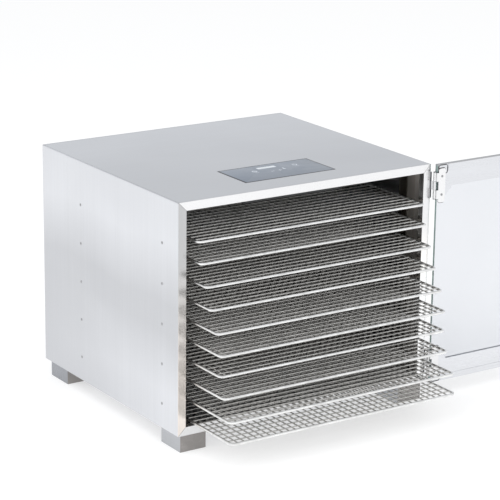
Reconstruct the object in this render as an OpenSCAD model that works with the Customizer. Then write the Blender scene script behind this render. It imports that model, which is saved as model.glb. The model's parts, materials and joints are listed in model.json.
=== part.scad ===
// Food dehydrator: a folded steel cabinet on four feet, ten sliding wire trays and a hinged glass door.
// Units are millimetres. X runs along the front to the right, Y runs back, Z is up.
// The origin is on the floor, at the centre of the pattern of holes under the four feet.

/* [Cabinet] */
// Width of the cabinet
cabinet_width = 420; // [350:5:505]
// Depth of the cabinet, front frame to back panel
cabinet_depth = 382; // [340:2:460]
// Height of the cabinet above its feet
cabinet_height = 330; // [310:2:400]
// Thickness of the sheet steel
skin = 1; // [0.8:0.1:1.2]
// Width of the folded frame round the opening
frame_face = 12; // [10:1:16]
// Depth of the frame's lip, folded back into the chamber
frame_lip = 10; // [6:1:14]

/* [Feet] */
// Height of the feet
foot_height = 24; // [18:1:34]
// Width of a foot
foot_width = 41; // [34:1:50]
// Length of a foot
foot_length = 50; // [40:1:60]
// Distance of a foot in from the side of the cabinet
foot_inset = 4; // [2:1:10]
// Distance of the rear feet in from the back
rear_foot_inset = 11; // [4:1:20]
// Radius of the fixing hole under each foot
foot_hole_r = 2.2; // [1.5:0.1:3]

/* [Trays] */
// Distance from the cabinet's top down to the top tray
top_tray_drop = 53.5; // [48:0.5:60]
// Distance from the cabinet's floor up to the bottom tray
bottom_tray_rise = 18.2; // [17:0.2:24]
// Gap between the side of a tray and the side of the opening
tray_side_gap = 8; // [7:0.5:11]
// Distance of a tray's front behind the front frame when it is fully in
tray_set_back = 5; // [2:0.5:8]
// Diameter of a tray's rim rod
rim_rod = 4; // [3:0.5:5]
// Diameter of a tray's inner wires
mesh_wire = 2; // [1.2:0.1:2.4]
// Spacing of the wires that run front to back
long_wire_pitch = 10.4; // [8:0.2:14]
// Spacing of the wires that run side to side
cross_wire_pitch = 12.5; // [10:0.5:16]
// Radius of a tray's corners
tray_corner_r = 8; // [6:1:20]
// How far each tray stands out of the cabinet, top tray first
tray_out = [17, 24, 38, 50, 66, 75, 74, 83, 99, 103];

/* [Racks] */
// Distance of the front rack posts behind the front
front_post_back = 43; // [36:1:60]
// Distance of the rear rack posts behind the front
rear_post_back = 269; // [200:1:290]
// Width of a rack post
post_width = 20; // [14:1:26]
// Thickness of the rack's sheet steel
rack_sheet = 1.2; // [0.8:0.1:1.6]
// Width of the ledge that a tray slides on
ledge_width = 11; // [9:0.5:12]

/* [Door] */
// Thickness of the door, over its steel bands
door_thickness = 7; // [7:0.5:10]
// Thickness of the door glass
glass_thickness = 4; // [3:0.5:5]
// Gap between the closed door and the front frame
door_gap = 3; // [3:0.25:5]
// Height of the door's steel bands
band_height = 33; // [28:1:44]
// How far the ear of a band reaches past the band for the hinge
ear_drop = 17; // [15:1:24]
// Radius of a hinge pin
pin_r = 1.2; // [1:0.1:1.8]
// Height of a hinge
hinge_height = 38; // [30:1:40]
// How far the door stands open
door_angle = 180; // [0:90:180]

/* [Fan and heater] */
// Space behind the baffle for the fan, the heater and the motor
rear_space = 62; // [60:1:80]
// Radius of the fan's blades
blade_r = 70; // [50:1:74]
// Radius of the ring heater, to the middle of its tube
heater_r = 86; // [82:1:96]
// Radius of the fan shaft
shaft_r = 3; // [2.5:0.1:4]

/* [Controls] */
// Width of the touch panel
panel_width = 151; // [120:1:180]
// Depth of the touch panel
panel_depth = 74; // [60:1:90]
// Distance of the touch panel behind the front
panel_back = 44; // [30:1:60]
// Width of the display window
window_width = 30; // [24:1:40]
// Depth of the display window
window_depth = 8; // [6:1:14]
// Distance from the touch panel's rear edge to the display window
window_edge = 12; // [5:1:24]
// Distance of the display window's centre to the left of the touch panel's centre
window_left = 4; // [-20:1:20]

/* [Hidden] */
$fn = 48;

// clearances
seat = 0.3;       // between a piece and what it lies beside
running = 0.05;   // radial, round a pin or a shaft
shank_gap = 0.05; // radial, round a rivet or screw shank
layer_gap = 0.04; // between a tray's two layers of wires

// cabinet planes
half_w = cabinet_width / 2;
front = -cabinet_depth / 2;
back = cabinet_depth / 2;
floor_z = foot_height;
top_z = foot_height + cabinet_height;
open_half = half_w - frame_face;
middle_z = floor_z + cabinet_height / 2;
fold = 8; // height of the folded edges that join the panels

// trays and racks
tray_half = open_half - tray_side_gap;
tray_pitch = (cabinet_height - top_tray_drop - bottom_tray_rise) / 9;
tray_rear_gap = 9;
tray_depth = cabinet_depth - rear_space - tray_set_back - tray_rear_gap;
post_depth = half_w - skin - tray_half - 5;
ledge_x = half_w - skin - post_depth;
runner_drop = 8;
post_low = floor_z + skin + seat;
post_high = top_z - 14;
rivet_r = 1.6;
rivet_head_r = 2.2;
rivet_head = 0.5;
post_backs = [front_post_back, rear_post_back];
function tray_z(i) = top_z - top_tray_drop - i * tray_pitch;
function rivet_z(k) = tray_z(2 * k) - tray_pitch * 0.4;

// rear space
baffle_y = back - rear_space;
motor_plate_y = baffle_y + 30;
fan_hole_r = blade_r + 12;
lead_half = 9;
lead_z = middle_z - sqrt(heater_r * heater_r - lead_half * lead_half);
heater_tube_r = 3.2;
heater_y = (baffle_y + skin + motor_plate_y) / 2;
motor_r = 30;
motor_length = 22;
bracket_half_w = 44;
bracket_half_h = 14;
motor_y = motor_plate_y + skin + rack_sheet;
inlet_x = half_w - 62;
inlet_z = floor_z + 38;
rear_screw_r = 1.5;

// controls
panel_y = front + panel_back + panel_depth / 2;
window_y = panel_y + panel_depth / 2 - window_edge - window_depth / 2;
panel_lip = 4;
housing_wall = 3;
housing_height = 26;

// hinge and door, given with the door closed
hinge_y = front - door_gap - door_thickness / 2;
knuckle_r = pin_r + 1.2;
hinge_x = half_w + knuckle_r + seat;
door_half = half_w - 0.6;
door_low = floor_z + 2;
door_in = front - door_gap;
door_out = door_in - door_thickness;
glass_out = hinge_y - glass_thickness / 2;
glass_in = hinge_y + glass_thickness / 2;
ear_height = band_height + ear_drop;
ear_width = 10;
hem_height = 9;
hem = 0.6;
clip_width = 12;
clip_height = ear_height;
clip_sheet = 1.2;
clip_pad = 0.4;
clip_cap = 5.5; // from a clip to the door's edge above or below it
clip_cap_width = 17;
hinge_top_z = top_z - clip_cap - clip_height / 2;
hinge_bottom_z = door_low + clip_cap + clip_height / 2;
knuckle_gap = 0.3;
third = hinge_height / 3;
clip_screw_r = 1.4;
clip_screw_half = hinge_height / 2 - 5.5;
handle_x = -door_half + 26;
handle_half = 55;
handle_rod_r = 4;
handle_off = 26;
handle_screw_r = 2;

// ---------- shared shapes ----------

// cylinder that runs along Y from y0 to y1
module rod_y(r, y0, y1) {
    translate([0, y0, 0]) rotate([-90, 0, 0]) cylinder(r = r, h = y1 - y0);
}

// cylinder that runs along X from x0 to x1
module rod_x(r, x0, x1) {
    translate([x0, 0, 0]) rotate([0, 90, 0]) cylinder(r = r, h = x1 - x0);
}

// box between two corners
module box(low, high) {
    translate(low) cube(high - low);
}

// outline in X and Z, extruded in Y from y0 to y1
module sheet_y(points, y0, y1) {
    translate([0, y1, 0]) rotate([90, 0, 0]) linear_extrude(y1 - y0) polygon(points);
}

// flat plate with rounded corners, centred on the origin, from z0 to z1
module rounded_slab(w, d, r, z0, z1) {
    union() {
        box([-w / 2 + r, -d / 2, z0], [w / 2 - r, d / 2, z1]);
        box([-w / 2, -d / 2 + r, z0], [w / 2, d / 2 - r, z1]);
        for (x = [-1, 1], y = [-1, 1])
            translate([x * (w / 2 - r), y * (d / 2 - r), z0]) cylinder(r = r, h = z1 - z0);
    }
}

// the same standing up, in X and Z, from y0 to y1
module rounded_plate(w, h, r, y0, y1) {
    rotate([90, 0, 0]) rounded_slab(w, h, r, -y1, -y0);
}

// ---------- cabinet ----------

module top_panel() {
    color("silver") difference() {
        union() {
            box([-half_w, front + skin, top_z - skin], [half_w, back - skin, top_z]);
            for (s = [-1, 1])
                translate([s * (half_w - 1.5 * skin), 0, top_z - fold / 2 - skin / 2])
                    cube([skin, cabinet_depth - 30, fold], center = true);
        }
        translate([0, panel_y, top_z])
            cube([panel_width + 2 * seat, panel_depth + 2 * seat, 4 * skin], center = true);
    }
}

// s is -1 for the left side and 1 for the right side
module side_panel(s) {
    color("gainsboro") difference() {
        mirror([s < 0 ? 1 : 0, 0, 0]) union() {
            box([half_w - skin, front + skin, floor_z], [half_w, back - skin, top_z - skin]);
            box([half_w - skin - fold, back - 2 * skin, floor_z + fold + 2 * skin],
                [half_w, back - skin, top_z - fold - 2 * skin]);
        }
        for (p = post_backs, k = [0:4])
            translate([0, front + p, rivet_z(k)]) rod_x(rivet_r + shank_gap, -half_w - 1, half_w + 1);
        rear_screw_places() rod_y(rear_screw_r + shank_gap, back - 5, back + 1);
        if (s > 0) hinge_rivet_places() rod_x(rivet_r + shank_gap, half_w - 3, half_w + 3);
    }
}

module side_panel_left() side_panel(-1);
module side_panel_right() side_panel(1);

module base_panel() {
    inner = half_w - skin - seat / 3;
    color("gray") difference() {
        union() {
            box([-inner, front + skin, floor_z], [inner, back - skin, floor_z + skin]);
            for (s = [-1, 1])
                translate([s * (inner - skin / 2), 0, floor_z + fold / 2])
                    cube([skin, cabinet_depth - 30, fold], center = true);
        }
        rack_post_places() box([-post_depth, -post_width / 2 - 1, floor_z + skin],
            [post_depth, post_width / 2 + 1, floor_z + 2 * fold]);
        foot_screw_places() cylinder(r = rear_screw_r + shank_gap, h = 2 * foot_height);
    }
}

module back_panel() {
    color("silver") difference() {
        box([-half_w, back - skin, floor_z], [half_w, back, top_z]);
        for (k = [-4:4])
            translate([0, back, middle_z + 9 * k])
                cube([2 * sqrt(44 * 44 - 81 * k * k), 4 * skin, 4], center = true);
        for (s = [-1, 1], k = [0:5])
            translate([s * (half_w - 70), back, top_z - 50 - 10 * k]) cube([60, 4 * skin, 4], center = true);
        translate([inlet_x, back, inlet_z]) cube([31, 4 * skin, 23], center = true);
        inlet_screw_places() rod_y(rear_screw_r + shank_gap, back - 4, back + 4);
        rear_screw_places() rod_y(rear_screw_r + shank_gap, back - 4, back + 4);
    }
}

// one mitred strip of the frame: length is its outer edge, lying along X with its lip at the low side
module frame_strip(length, lip_cut) {
    seam = 0.1;
    union() {
        sheet_y([[-length / 2 + seam, 0], [length / 2 - seam, 0],
            [length / 2 - frame_face - seam, -frame_face], [-length / 2 + frame_face + seam, -frame_face]],
            front, front + skin);
        box([-length / 2 + frame_face + lip_cut, front, -frame_face],
            [length / 2 - frame_face - lip_cut, front + frame_lip, -frame_face + skin]);
    }
}

module front_frame() {
    color("whitesmoke") {
        translate([0, 0, top_z]) frame_strip(cabinet_width, 1.2 * skin);
        translate([0, 0, floor_z]) mirror([0, 0, 1]) frame_strip(cabinet_width, 1.2 * skin);
        for (s = [-1, 1])
            translate([s * half_w, 0, middle_z]) rotate([0, 90 * s, 0]) frame_strip(cabinet_height, 0.2);
    }
}

// ---------- racks ----------

module rack_post_places() {
    for (s = [-1, 1], p = post_backs) translate([s * (half_w - skin), front + p, 0]) children();
}

module rack_posts() {
    color("lightgray") for (s = [-1, 1], p = post_backs)
        translate([0, front + p, 0]) mirror([s < 0 ? 1 : 0, 0, 0]) difference() {
            box([ledge_x, -post_width / 2, post_low], [half_w - skin, post_width / 2, post_high]);
            box([ledge_x - 1, -post_width / 2 + rack_sheet, post_low - 1],
                [half_w - skin - rack_sheet, post_width / 2 - rack_sheet, post_high + 1]);
            for (k = [0:4]) translate([0, 0, rivet_z(k)]) rod_x(rivet_r + shank_gap, half_w - 8, half_w);
        }
}

// the ledges that carry the trays, folded down along the posts
module tray_runners() {
    start = front + 15;
    end = front + tray_set_back + tray_depth + 2;
    color("silver") for (s = [-1, 1], i = [0:9])
        mirror([s < 0 ? 1 : 0, 0, 0]) translate([0, 0, tray_z(i) - rim_rod / 2 - seat]) union() {
            box([ledge_x - ledge_width, start, -rack_sheet], [ledge_x, end, 0]);
            box([ledge_x - rack_sheet, start, -runner_drop], [ledge_x, end, 0]);
        }
}

module rack_rivets() {
    inside = half_w - skin - rack_sheet - 1.2;
    color("dimgray") for (s = [-1, 1], p = post_backs, k = [0:4])
        mirror([s < 0 ? 1 : 0, 0, 0]) translate([0, front + p, rivet_z(k)]) union() {
            rod_x(rivet_r, inside, half_w + rivet_head);
            rod_x(rivet_head_r, half_w, half_w + rivet_head);
            rod_x(rivet_head_r, inside, inside + 1.2);
        }
}

// ---------- feet ----------

hole_y = -front - foot_length / 2 - skin; // the four holes are the same distance before and behind the origin
foot_flange = 12;
foot_screw_in = 6.6;

// a folded box with flanges turned in along its top
module foot(s, y0) {
    x0 = half_w - foot_inset - foot_width;
    x1 = half_w - foot_inset;
    y1 = y0 + foot_length;
    color("darkgray") difference() {
        mirror([s < 0 ? 1 : 0, 0, 0]) difference() {
            box([x0, y0, 0], [x1, y1, foot_height]);
            box([x0 + rack_sheet, y0 + rack_sheet, rack_sheet],
                [x1 - rack_sheet, y1 - rack_sheet, foot_height - rack_sheet]);
            box([x0 + foot_flange, y0 + rack_sheet, rack_sheet],
                [x1 - foot_flange, y1 - rack_sheet, foot_height + 1]);
        }
        for (x = [-1, 1], y = [-1, 1])
            translate([x * (half_w - foot_inset - foot_width / 2), y * hole_y, -1])
                cylinder(r = foot_hole_r, h = rack_sheet + 2);
        foot_screw_places() cylinder(r = rear_screw_r + shank_gap, h = 2 * foot_height);
    }
}

front_foot_y = front + skin;
rear_foot_y = back - rear_foot_inset - foot_length;

module foot_front_left() foot(-1, front_foot_y);
module foot_front_right() foot(1, front_foot_y);
module foot_rear_left() foot(-1, rear_foot_y);
module foot_rear_right() foot(1, rear_foot_y);

module foot_screw_places() {
    for (s = [-1, 1], y = [front_foot_y, rear_foot_y], x = [foot_screw_in, foot_width - foot_screw_in])
        translate([s * (half_w - foot_inset - x), y + foot_length / 2, foot_height - 6]) children();
}

module foot_screws() {
    head = 1.6;
    low = 6 - rack_sheet - head;
    color("gray") foot_screw_places() union() {
        translate([0, 0, low]) cylinder(r = 2.8, h = head);
        translate([0, 0, low]) cylinder(r = rear_screw_r, h = head + rack_sheet + skin + 3);
    }
}

// ---------- controls ----------

module control_panel() {
    color("slategray") difference() {
        translate([0, panel_y, 0]) union() {
            rounded_slab(panel_width, panel_depth, 2, top_z - skin - seat - 1, top_z + 0.1);
            rounded_slab(panel_width + 2 * panel_lip, panel_depth + 2 * panel_lip, 2,
                top_z - skin - seat - 1, top_z - skin - seat);
        }
        translate([-window_left, window_y, top_z])
            cube([window_width + 0.2, window_depth + 0.2, 2.2], center = true);
    }
}

module display_window() {
    color("darkseagreen") translate([-window_left, window_y, top_z - 0.45])
        cube([window_width, window_depth, 1.1], center = true);
}

module control_housing() {
    outer_w = panel_width + 2 * panel_lip + 1 + 2 * housing_wall;
    outer_d = panel_depth + 2 * panel_lip + 1 + 2 * housing_wall;
    low = top_z - skin - housing_height;
    color("dimgray") translate([0, panel_y, 0]) union() {
        difference() {
            rounded_slab(outer_w, outer_d, 4, low, top_z - skin);
            rounded_slab(outer_w - 2 * housing_wall, outer_d - 2 * housing_wall, 2, low + 2, top_z);
        }
        for (x = [-1, 1], y = [-1, 1])
            translate([x * (panel_width / 2 - 8), y * (panel_depth / 2 - 8), low + 1]) cylinder(r = 3, h = 8);
    }
}

// circuit board with its relay, transformer, capacitors, buzzer and cable socket
module control_board() {
    z = top_z - skin - housing_height + 9;
    w = panel_width - 10;
    d = panel_depth - 10;
    color("darkgreen") translate([0, panel_y, z]) union() {
        translate([-w / 2, -d / 2, 0]) cube([w, d, 1.6]);
        translate([-w / 2 + 10, -d / 2 + 10, 1]) cube([20, 15, 11]);
        translate([-w / 2 + 36, -d / 2 + 8, 1]) cube([26, 22, 12]);
        for (k = [0:2]) translate([14 + 12 * k, -d / 2 + 14, 1]) cylinder(r = 4, h = 10);
        translate([w / 2 - 14, d / 2 - 14, 1]) cylinder(r = 6, h = 7);
        translate([-w / 2 + 8, d / 2 - 12, 1]) cube([30, 6, 9]);
    }
}

// ---------- rear space: baffle, fan, heater ----------

module baffle_panel() {
    inner = half_w - skin - 1;
    color("silver") difference() {
        box([-inner, baffle_y, floor_z + skin + seat], [inner, baffle_y + skin, top_z - skin - seat]);
        translate([0, 0, middle_z]) rod_y(fan_hole_r, baffle_y - 1, baffle_y + 3);
        for (s = [-1, 1], k = [-4:4])
            translate([s * (half_w - 62), baffle_y, middle_z + 30 * k]) cube([60, 4 * skin, 6], center = true);
        for (s = [-1, 1], z = [floor_z, top_z])
            translate([s * inner, baffle_y, z]) cube([8, 4 * skin, 2 * fold + 6], center = true);
    }
}

module motor_plate() {
    inner = half_w - skin - 1;
    color("gray") difference() {
        box([-inner, motor_plate_y, floor_z + skin + seat], [inner, motor_plate_y + skin, top_z - skin - seat]);
        translate([0, 0, middle_z]) rod_y(shaft_r + 4, motor_plate_y - 1, motor_plate_y + 3);
        for (s = [-1, 1])
            translate([s * lead_half, 0, lead_z])
                rod_y(heater_tube_r + 0.6, motor_plate_y - 1, motor_plate_y + 3);
        for (s = [-1, 1], z = [floor_z, top_z])
            translate([s * inner, motor_plate_y, z]) cube([8, 4 * skin, 2 * fold + 6], center = true);
        motor_screw_places() rod_y(rear_screw_r + shank_gap, motor_plate_y - 1, motor_plate_y + 3);
    }
}

module fan_guard() {
    bar = 1.6;
    color("silver") translate([0, baffle_y - bar, middle_z]) rotate([-90, 0, 0]) union() {
        for (r = [fan_hole_r * 0.25 : fan_hole_r * 0.25 : fan_hole_r]) difference() {
            cylinder(r = r + bar, h = bar);
            translate([0, 0, -1]) cylinder(r = r, h = bar + 2);
        }
        for (a = [0:60:300]) rotate([0, 0, a])
            translate([fan_hole_r * 0.25 + bar / 2, -bar / 2, 0]) cube([fan_hole_r * 0.75 + 4, bar, bar]);
    }
}

module fan_motor() {
    color("dimgray") translate([0, 0, middle_z]) difference() {
        union() {
            rod_y(motor_r, motor_y, motor_y + motor_length);
            rod_y(9, motor_y + motor_length - 1, motor_y + motor_length + 3);
        }
        rod_y(shaft_r + running, motor_y - 1, motor_y + motor_length - 4);
    }
}

module motor_bracket() {
    color("lightgray") translate([0, 0, middle_z]) difference() {
        box([-bracket_half_w, motor_plate_y + skin, -bracket_half_h], [bracket_half_w, motor_y, bracket_half_h]);
        rod_y(shaft_r + 4, motor_plate_y, motor_y + 1);
        translate([0, 0, -middle_z])
            motor_screw_places() rod_y(rear_screw_r + shank_gap, motor_plate_y, motor_y + 1);
    }
}

module motor_screw_places() {
    for (s = [-1, 1], z = [-1, 1])
        translate([s * (bracket_half_w - 7), 0, middle_z + z * (bracket_half_h - 6)]) children();
}

module motor_screws() {
    color("gray") motor_screw_places() union() {
        rod_y(2.8, motor_y, motor_y + 1.6);
        rod_y(rear_screw_r, motor_plate_y - 3, motor_y + 1);
    }
}

// a tube bent into a ring, with two leads through the motor plate
module heater_ring() {
    gap = asin(lead_half / heater_r);
    color("saddlebrown") translate([0, heater_y, middle_z]) rotate([90, 0, 0]) union() {
        rotate([0, 0, -90 + gap]) rotate_extrude(angle = 360 - 2 * gap)
            translate([heater_r, 0]) circle(r = heater_tube_r);
        for (s = [-1, 1]) rotate([0, 0, -90 + s * gap]) translate([heater_r, 0, 0]) {
            sphere(r = heater_tube_r);
            translate([0, 0, -30]) cylinder(r = heater_tube_r, h = 30);
        }
    }
}

module heater_clips() {
    ring_back = heater_y + heater_tube_r + 0.1;
    color("lightgray") for (a = [30, 90, 150]) translate([0, 0, middle_z]) rotate([0, -a, 0])
        translate([heater_r, 0, 0]) union() {
            box([-5, ring_back, -4], [5, ring_back + 1, 4]);
            box([-0.6, ring_back, -4], [0.6, motor_plate_y, 4]);
            box([-0.6, motor_plate_y - 1, -4], [10, motor_plate_y, 4]);
        }
}

module thermal_cutout() {
    color("black") translate([-half_w + 80, 0, top_z - 66]) union() {
        rod_y(8, motor_plate_y - 7, motor_plate_y);
        for (s = [-1, 1]) box([4 * s - 2, motor_plate_y - 14, -0.4], [4 * s + 2, motor_plate_y - 6, 0.4]);
        box([-14, motor_plate_y - 1, -3], [14, motor_plate_y, 3]);
    }
}

module temperature_sensor() {
    color("silver") translate([half_w - 30, 0, top_z - 80]) union() {
        box([-5, baffle_y + skin, -5], [5, baffle_y + skin + 7, 5]);
        translate([0, baffle_y + skin + 4, 0]) cylinder(r = 2, h = 22);
    }
}

module fan_shaft() {
    color("silver") translate([0, 0, middle_z]) rod_y(shaft_r, baffle_y + 4, motor_y + motor_length - 5);
}

module fan_blade() {
    hub_y = baffle_y + 9;
    hub_length = 12;
    color("gainsboro") translate([0, 0, middle_z]) difference() {
        union() {
            rod_y(12, hub_y, hub_y + hub_length);
            for (k = [0:4]) rotate([0, 72 * k, 0]) translate([0, hub_y + hub_length / 2, 0]) intersection() {
                rotate([28, 0, 0]) translate([8, -0.5, -15]) cube([blade_r - 8, 1, 30]);
                rod_y(blade_r, -20, 20);
            }
        }
        rod_y(shaft_r + 0.02, hub_y - 1, hub_y + hub_length + 1);
    }
}

module fan_nut() {
    color("silver") translate([0, 0, middle_z]) difference() {
        translate([0, baffle_y + 5, 0]) rotate([-90, 0, 0]) cylinder(r = 5.5, h = 3.7, $fn = 6);
        rod_y(shaft_r + 0.02, baffle_y + 1, baffle_y + 12);
    }
}

// ---------- power inlet and rear screws ----------

module power_inlet() {
    color("black") translate([inlet_x, 0, inlet_z]) difference() {
        union() {
            sheet_y([[-25, -5], [-16, -12], [16, -12], [25, -5], [25, 5], [16, 12], [-16, 12], [-25, 5]],
                back, back + 2.4);
            box([-15, back - 22, -11], [15, back + 1, 11]);
        }
        sheet_y([[-12, -8.5], [12, -8.5], [12, 3.5], [7.5, 8.5], [-7.5, 8.5], [-12, 3.5]], back - 19, back + 3);
        translate([-inlet_x, 0, -inlet_z]) {
            inlet_screw_places() rod_y(rear_screw_r + shank_gap, back - 1, back + 4);
            pin_bars(0.1);
        }
    }
}

// the three flat pins; fit is the clearance all round
module pin_bars(fit) {
    for (s = [-1, 1])
        translate([inlet_x + 7 * s, back - 15.5, inlet_z - 1]) cube([2 + fit, 23, 4 + fit], center = true);
    translate([inlet_x, back - 15, inlet_z + 5]) cube([2 + fit, 24, 4 + fit], center = true);
}

module inlet_pins() {
    color("gold") pin_bars(0);
}

module inlet_screw_places() {
    for (s = [-1, 1]) translate([inlet_x + 20 * s, 0, inlet_z]) children();
}

module rear_screw_places() {
    for (s = [-1, 1], z = [-1, 0, 1])
        translate([s * (half_w - 5.5), 0, middle_z + z * (cabinet_height / 2 - 18)]) children();
}

module rear_screws() {
    color("gray") {
        rear_screw_places() union() {
            rod_y(2.8, back, back + 1.5);
            rod_y(rear_screw_r, back - 6, back + 1);
        }
        inlet_screw_places() union() {
            rod_y(2.8, back + 2.4, back + 3.8);
            rod_y(rear_screw_r, back - 5, back + 3);
        }
    }
}

// ---------- hinges, cabinet side ----------

leaf_x = half_w + 0.1;
leaf_sheet = 1.5;
leaf_back = front + 15;
leaf_reach = 0.7; // how far a leaf stands before the front frame

module leaf(z) {
    color("dimgray") translate([0, 0, z]) difference() {
        union() {
            box([leaf_x, front - leaf_reach, -hinge_height / 2],
                [leaf_x + leaf_sheet, leaf_back, hinge_height / 2]);
            box([leaf_x, hinge_y, -third / 2 + knuckle_gap], [leaf_x + leaf_sheet, front + 2, third / 2 - knuckle_gap]);
            translate([hinge_x, hinge_y, -third / 2 + knuckle_gap])
                cylinder(r = knuckle_r, h = third - 2 * knuckle_gap);
        }
        translate([hinge_x, hinge_y, -hinge_height]) cylinder(r = pin_r + running, h = 2 * hinge_height);
        translate([0, 0, -z]) hinge_rivet_places() rod_x(rivet_r + shank_gap, half_w - 3, half_w + 4);
    }
}

module hinge_leaf_top() leaf(hinge_top_z);
module hinge_leaf_bottom() leaf(hinge_bottom_z);

module hinge_rivet_places() {
    for (z = [hinge_top_z, hinge_bottom_z], s = [-1, 1]) translate([0, front + 9, z + 12 * s]) children();
}

module hinge_rivets() {
    outside = leaf_x + leaf_sheet;
    color("gray") hinge_rivet_places() union() {
        rod_x(rivet_r, half_w - skin - 1.2, outside + 0.8);
        rod_x(2.6, outside, outside + 0.8);
        rod_x(2.4, half_w - skin - 1.2, half_w - skin);
    }
}

module hinge_pins() {
    head = 1.2;
    low = -hinge_height / 2 - 0.2;
    color("silver") for (z = [hinge_top_z, hinge_bottom_z]) translate([hinge_x, hinge_y, z]) union() {
        translate([0, 0, low - head]) cylinder(r = pin_r, h = hinge_height + 0.4 + 2 * head);
        translate([0, 0, low - head]) cylinder(r = pin_r + 1, h = head);
        translate([0, 0, -low]) cylinder(r = pin_r + 1, h = head);
    }
}

// ---------- door ----------

// turns a piece given with the door closed to where the door stands
module at_door() {
    translate([hinge_x, hinge_y, 0]) rotate([0, 0, door_angle]) translate([-hinge_x, -hinge_y, 0]) children();
}

module door_glass() {
    color("azure", 0.4) at_door() difference() {
        box([-door_half, glass_out, door_low + 2 * skin], [door_half, glass_in, top_z - 2 * skin]);
        handle_places() rod_y(handle_screw_r + 0.6, glass_out - 1, glass_in + 1);
    }
}

// the outline of a band, its outer edge at z = 0 and its ear hanging below at the hinge end
module band_outline(y0, y1) {
    sheet_y([[-door_half, 0], [door_half, 0], [door_half, -ear_height], [door_half - ear_width, -ear_height],
        [door_half - ear_width - ear_drop, -band_height], [-door_half, -band_height]], y0, y1);
}

module band() {
    union() {
        band_outline(door_out, door_out + skin);
        band_outline(door_in - skin, door_in);
        box([-door_half, door_out, -skin], [door_half, door_in, 0]);
        box([-door_half, door_in - skin, -hem_height], [door_half - clip_cap_width - 1, door_in + hem, 0]);
    }
}

module door_band_top() {
    color("silver") at_door() difference() {
        translate([0, 0, top_z]) band();
        clip_screw_places() rod_y(clip_screw_r + shank_gap, door_in - 1.5, door_in + 2);
    }
}

module door_band_bottom() {
    color("silver") at_door() difference() {
        translate([0, 0, door_low]) mirror([0, 0, 1]) band();
        clip_screw_places() rod_y(clip_screw_r + shank_gap, door_in - 1.5, door_in + 2);
    }
}

// the strips that hold the glass in the bands, folded over its edges
module glass_strips() {
    fit = 0.05;
    color("white") at_door() for (s = [0, 1])
        translate([0, 0, s == 0 ? top_z : door_low]) mirror([0, 0, s]) difference() {
            box([-door_half + 1, door_out + skin + fit, -band_height + 1],
                [door_half - 1, door_in - skin - fit, -skin - fit]);
            box([-door_half - 1, glass_out - fit, -band_height - 1],
                [door_half + 1, glass_in + fit, -2 * skin + fit]);
        }
}

module clip_screw_places() {
    for (z = [hinge_top_z, hinge_bottom_z], s = [-1, 1])
        translate([door_half - clip_width / 2, 0, z + clip_screw_half * s]) children();
}

// rubber between a clip and its band, with a loop that closes the door's corner
module hinge_pad() {
    rim = 1;
    loop = 1.2;
    low = clip_height / 2 - 8.5;
    high = clip_height / 2 + clip_cap - seat;
    difference() {
        union() {
            translate([door_half - (clip_width + rim) / 2, 0, 0])
                rounded_plate(clip_width + rim, clip_height + 2 * rim, 3 + rim, door_in, door_in + clip_pad);
            translate([door_half - clip_cap_width / 2, 0, (low + high) / 2]) difference() {
                rounded_plate(clip_cap_width, high - low, 3 + rim, door_in, door_in + clip_pad);
                rounded_plate(clip_cap_width - 2 * loop, high - low - 2 * loop, 2, door_in - 1, door_in + 1);
            }
        }
        for (s = [-1, 1]) translate([door_half - clip_width / 2, 0, clip_screw_half * s])
            rod_y(clip_screw_r + shank_gap, door_in - 1, door_in + 1);
    }
}

module hinge_pads() {
    color("black") at_door() {
        translate([0, 0, hinge_top_z]) hinge_pad();
        translate([0, 0, hinge_bottom_z]) mirror([0, 0, 1]) hinge_pad();
    }
}

// plate over the inner face of the door, with the two knuckles that turn on the pin
module clip(z) {
    under = door_in + clip_pad;
    color("white") at_door() translate([0, 0, z]) difference() {
        union() {
            translate([door_half - clip_width / 2, 0, 0])
                rounded_plate(clip_width, clip_height, 3, under, under + clip_sheet);
            for (s = [-1, 1]) translate([0, 0, s * third]) {
                box([door_half - 1, hinge_y + pin_r + 0.3, -third / 2], [hinge_x, under + clip_sheet, third / 2]);
                translate([hinge_x, hinge_y, -third / 2]) cylinder(r = knuckle_r, h = third);
            }
        }
        box([door_half - clip_width - 1, door_out, -clip_height], [door_half + 0.02, under, clip_height]);
        translate([hinge_x, hinge_y, -hinge_height]) cylinder(r = pin_r + running, h = 2 * hinge_height);
        translate([0, 0, -z]) clip_screw_places() rod_y(clip_screw_r + shank_gap, door_in - 1, door_in + 3);
    }
}

module hinge_clip_top() clip(hinge_top_z);
module hinge_clip_bottom() clip(hinge_bottom_z);

module clip_screws() {
    face = door_in + clip_pad + clip_sheet;
    color("dimgray") at_door() clip_screw_places() union() {
        rod_y(clip_screw_r, door_in - skin + 0.1, face + 0.5);
        rod_y(2.4, face, face + 0.9);
    }
}

module handle_places() {
    for (s = [-1, 1]) translate([handle_x, 0, middle_z + s * handle_half]) children();
}

// a round bow on the outer face of the door
module door_handle() {
    grip_y = glass_out - handle_off;
    color("silver") at_door() difference() {
        union() {
            handle_places() rod_y(handle_rod_r, grip_y, glass_out);
            handle_places() translate([0, grip_y, 0]) sphere(r = handle_rod_r);
            handle_places() rod_y(handle_rod_r + 3, glass_out - 1.6, glass_out);
            translate([handle_x, grip_y, middle_z - handle_half]) cylinder(r = handle_rod_r, h = 2 * handle_half);
        }
        handle_places() rod_y(handle_screw_r + shank_gap, glass_out - 14, glass_out + 1);
    }
}

module handle_screws() {
    color("silver") at_door() handle_places() union() {
        rod_y(handle_screw_r, glass_out - 12, glass_in + 1);
        rod_y(handle_rod_r + 1.5, glass_in, glass_in + 1.6);
    }
}

// flat magnets at the free end, on the inner face
module door_magnets() {
    color("darkslategray") at_door() for (z = [top_z - 20, door_low + 20])
        box([-door_half + 1, door_in, z - 9], [-door_half + 11, front - seat, z + 9]);
}

// ---------- trays ----------

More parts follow.
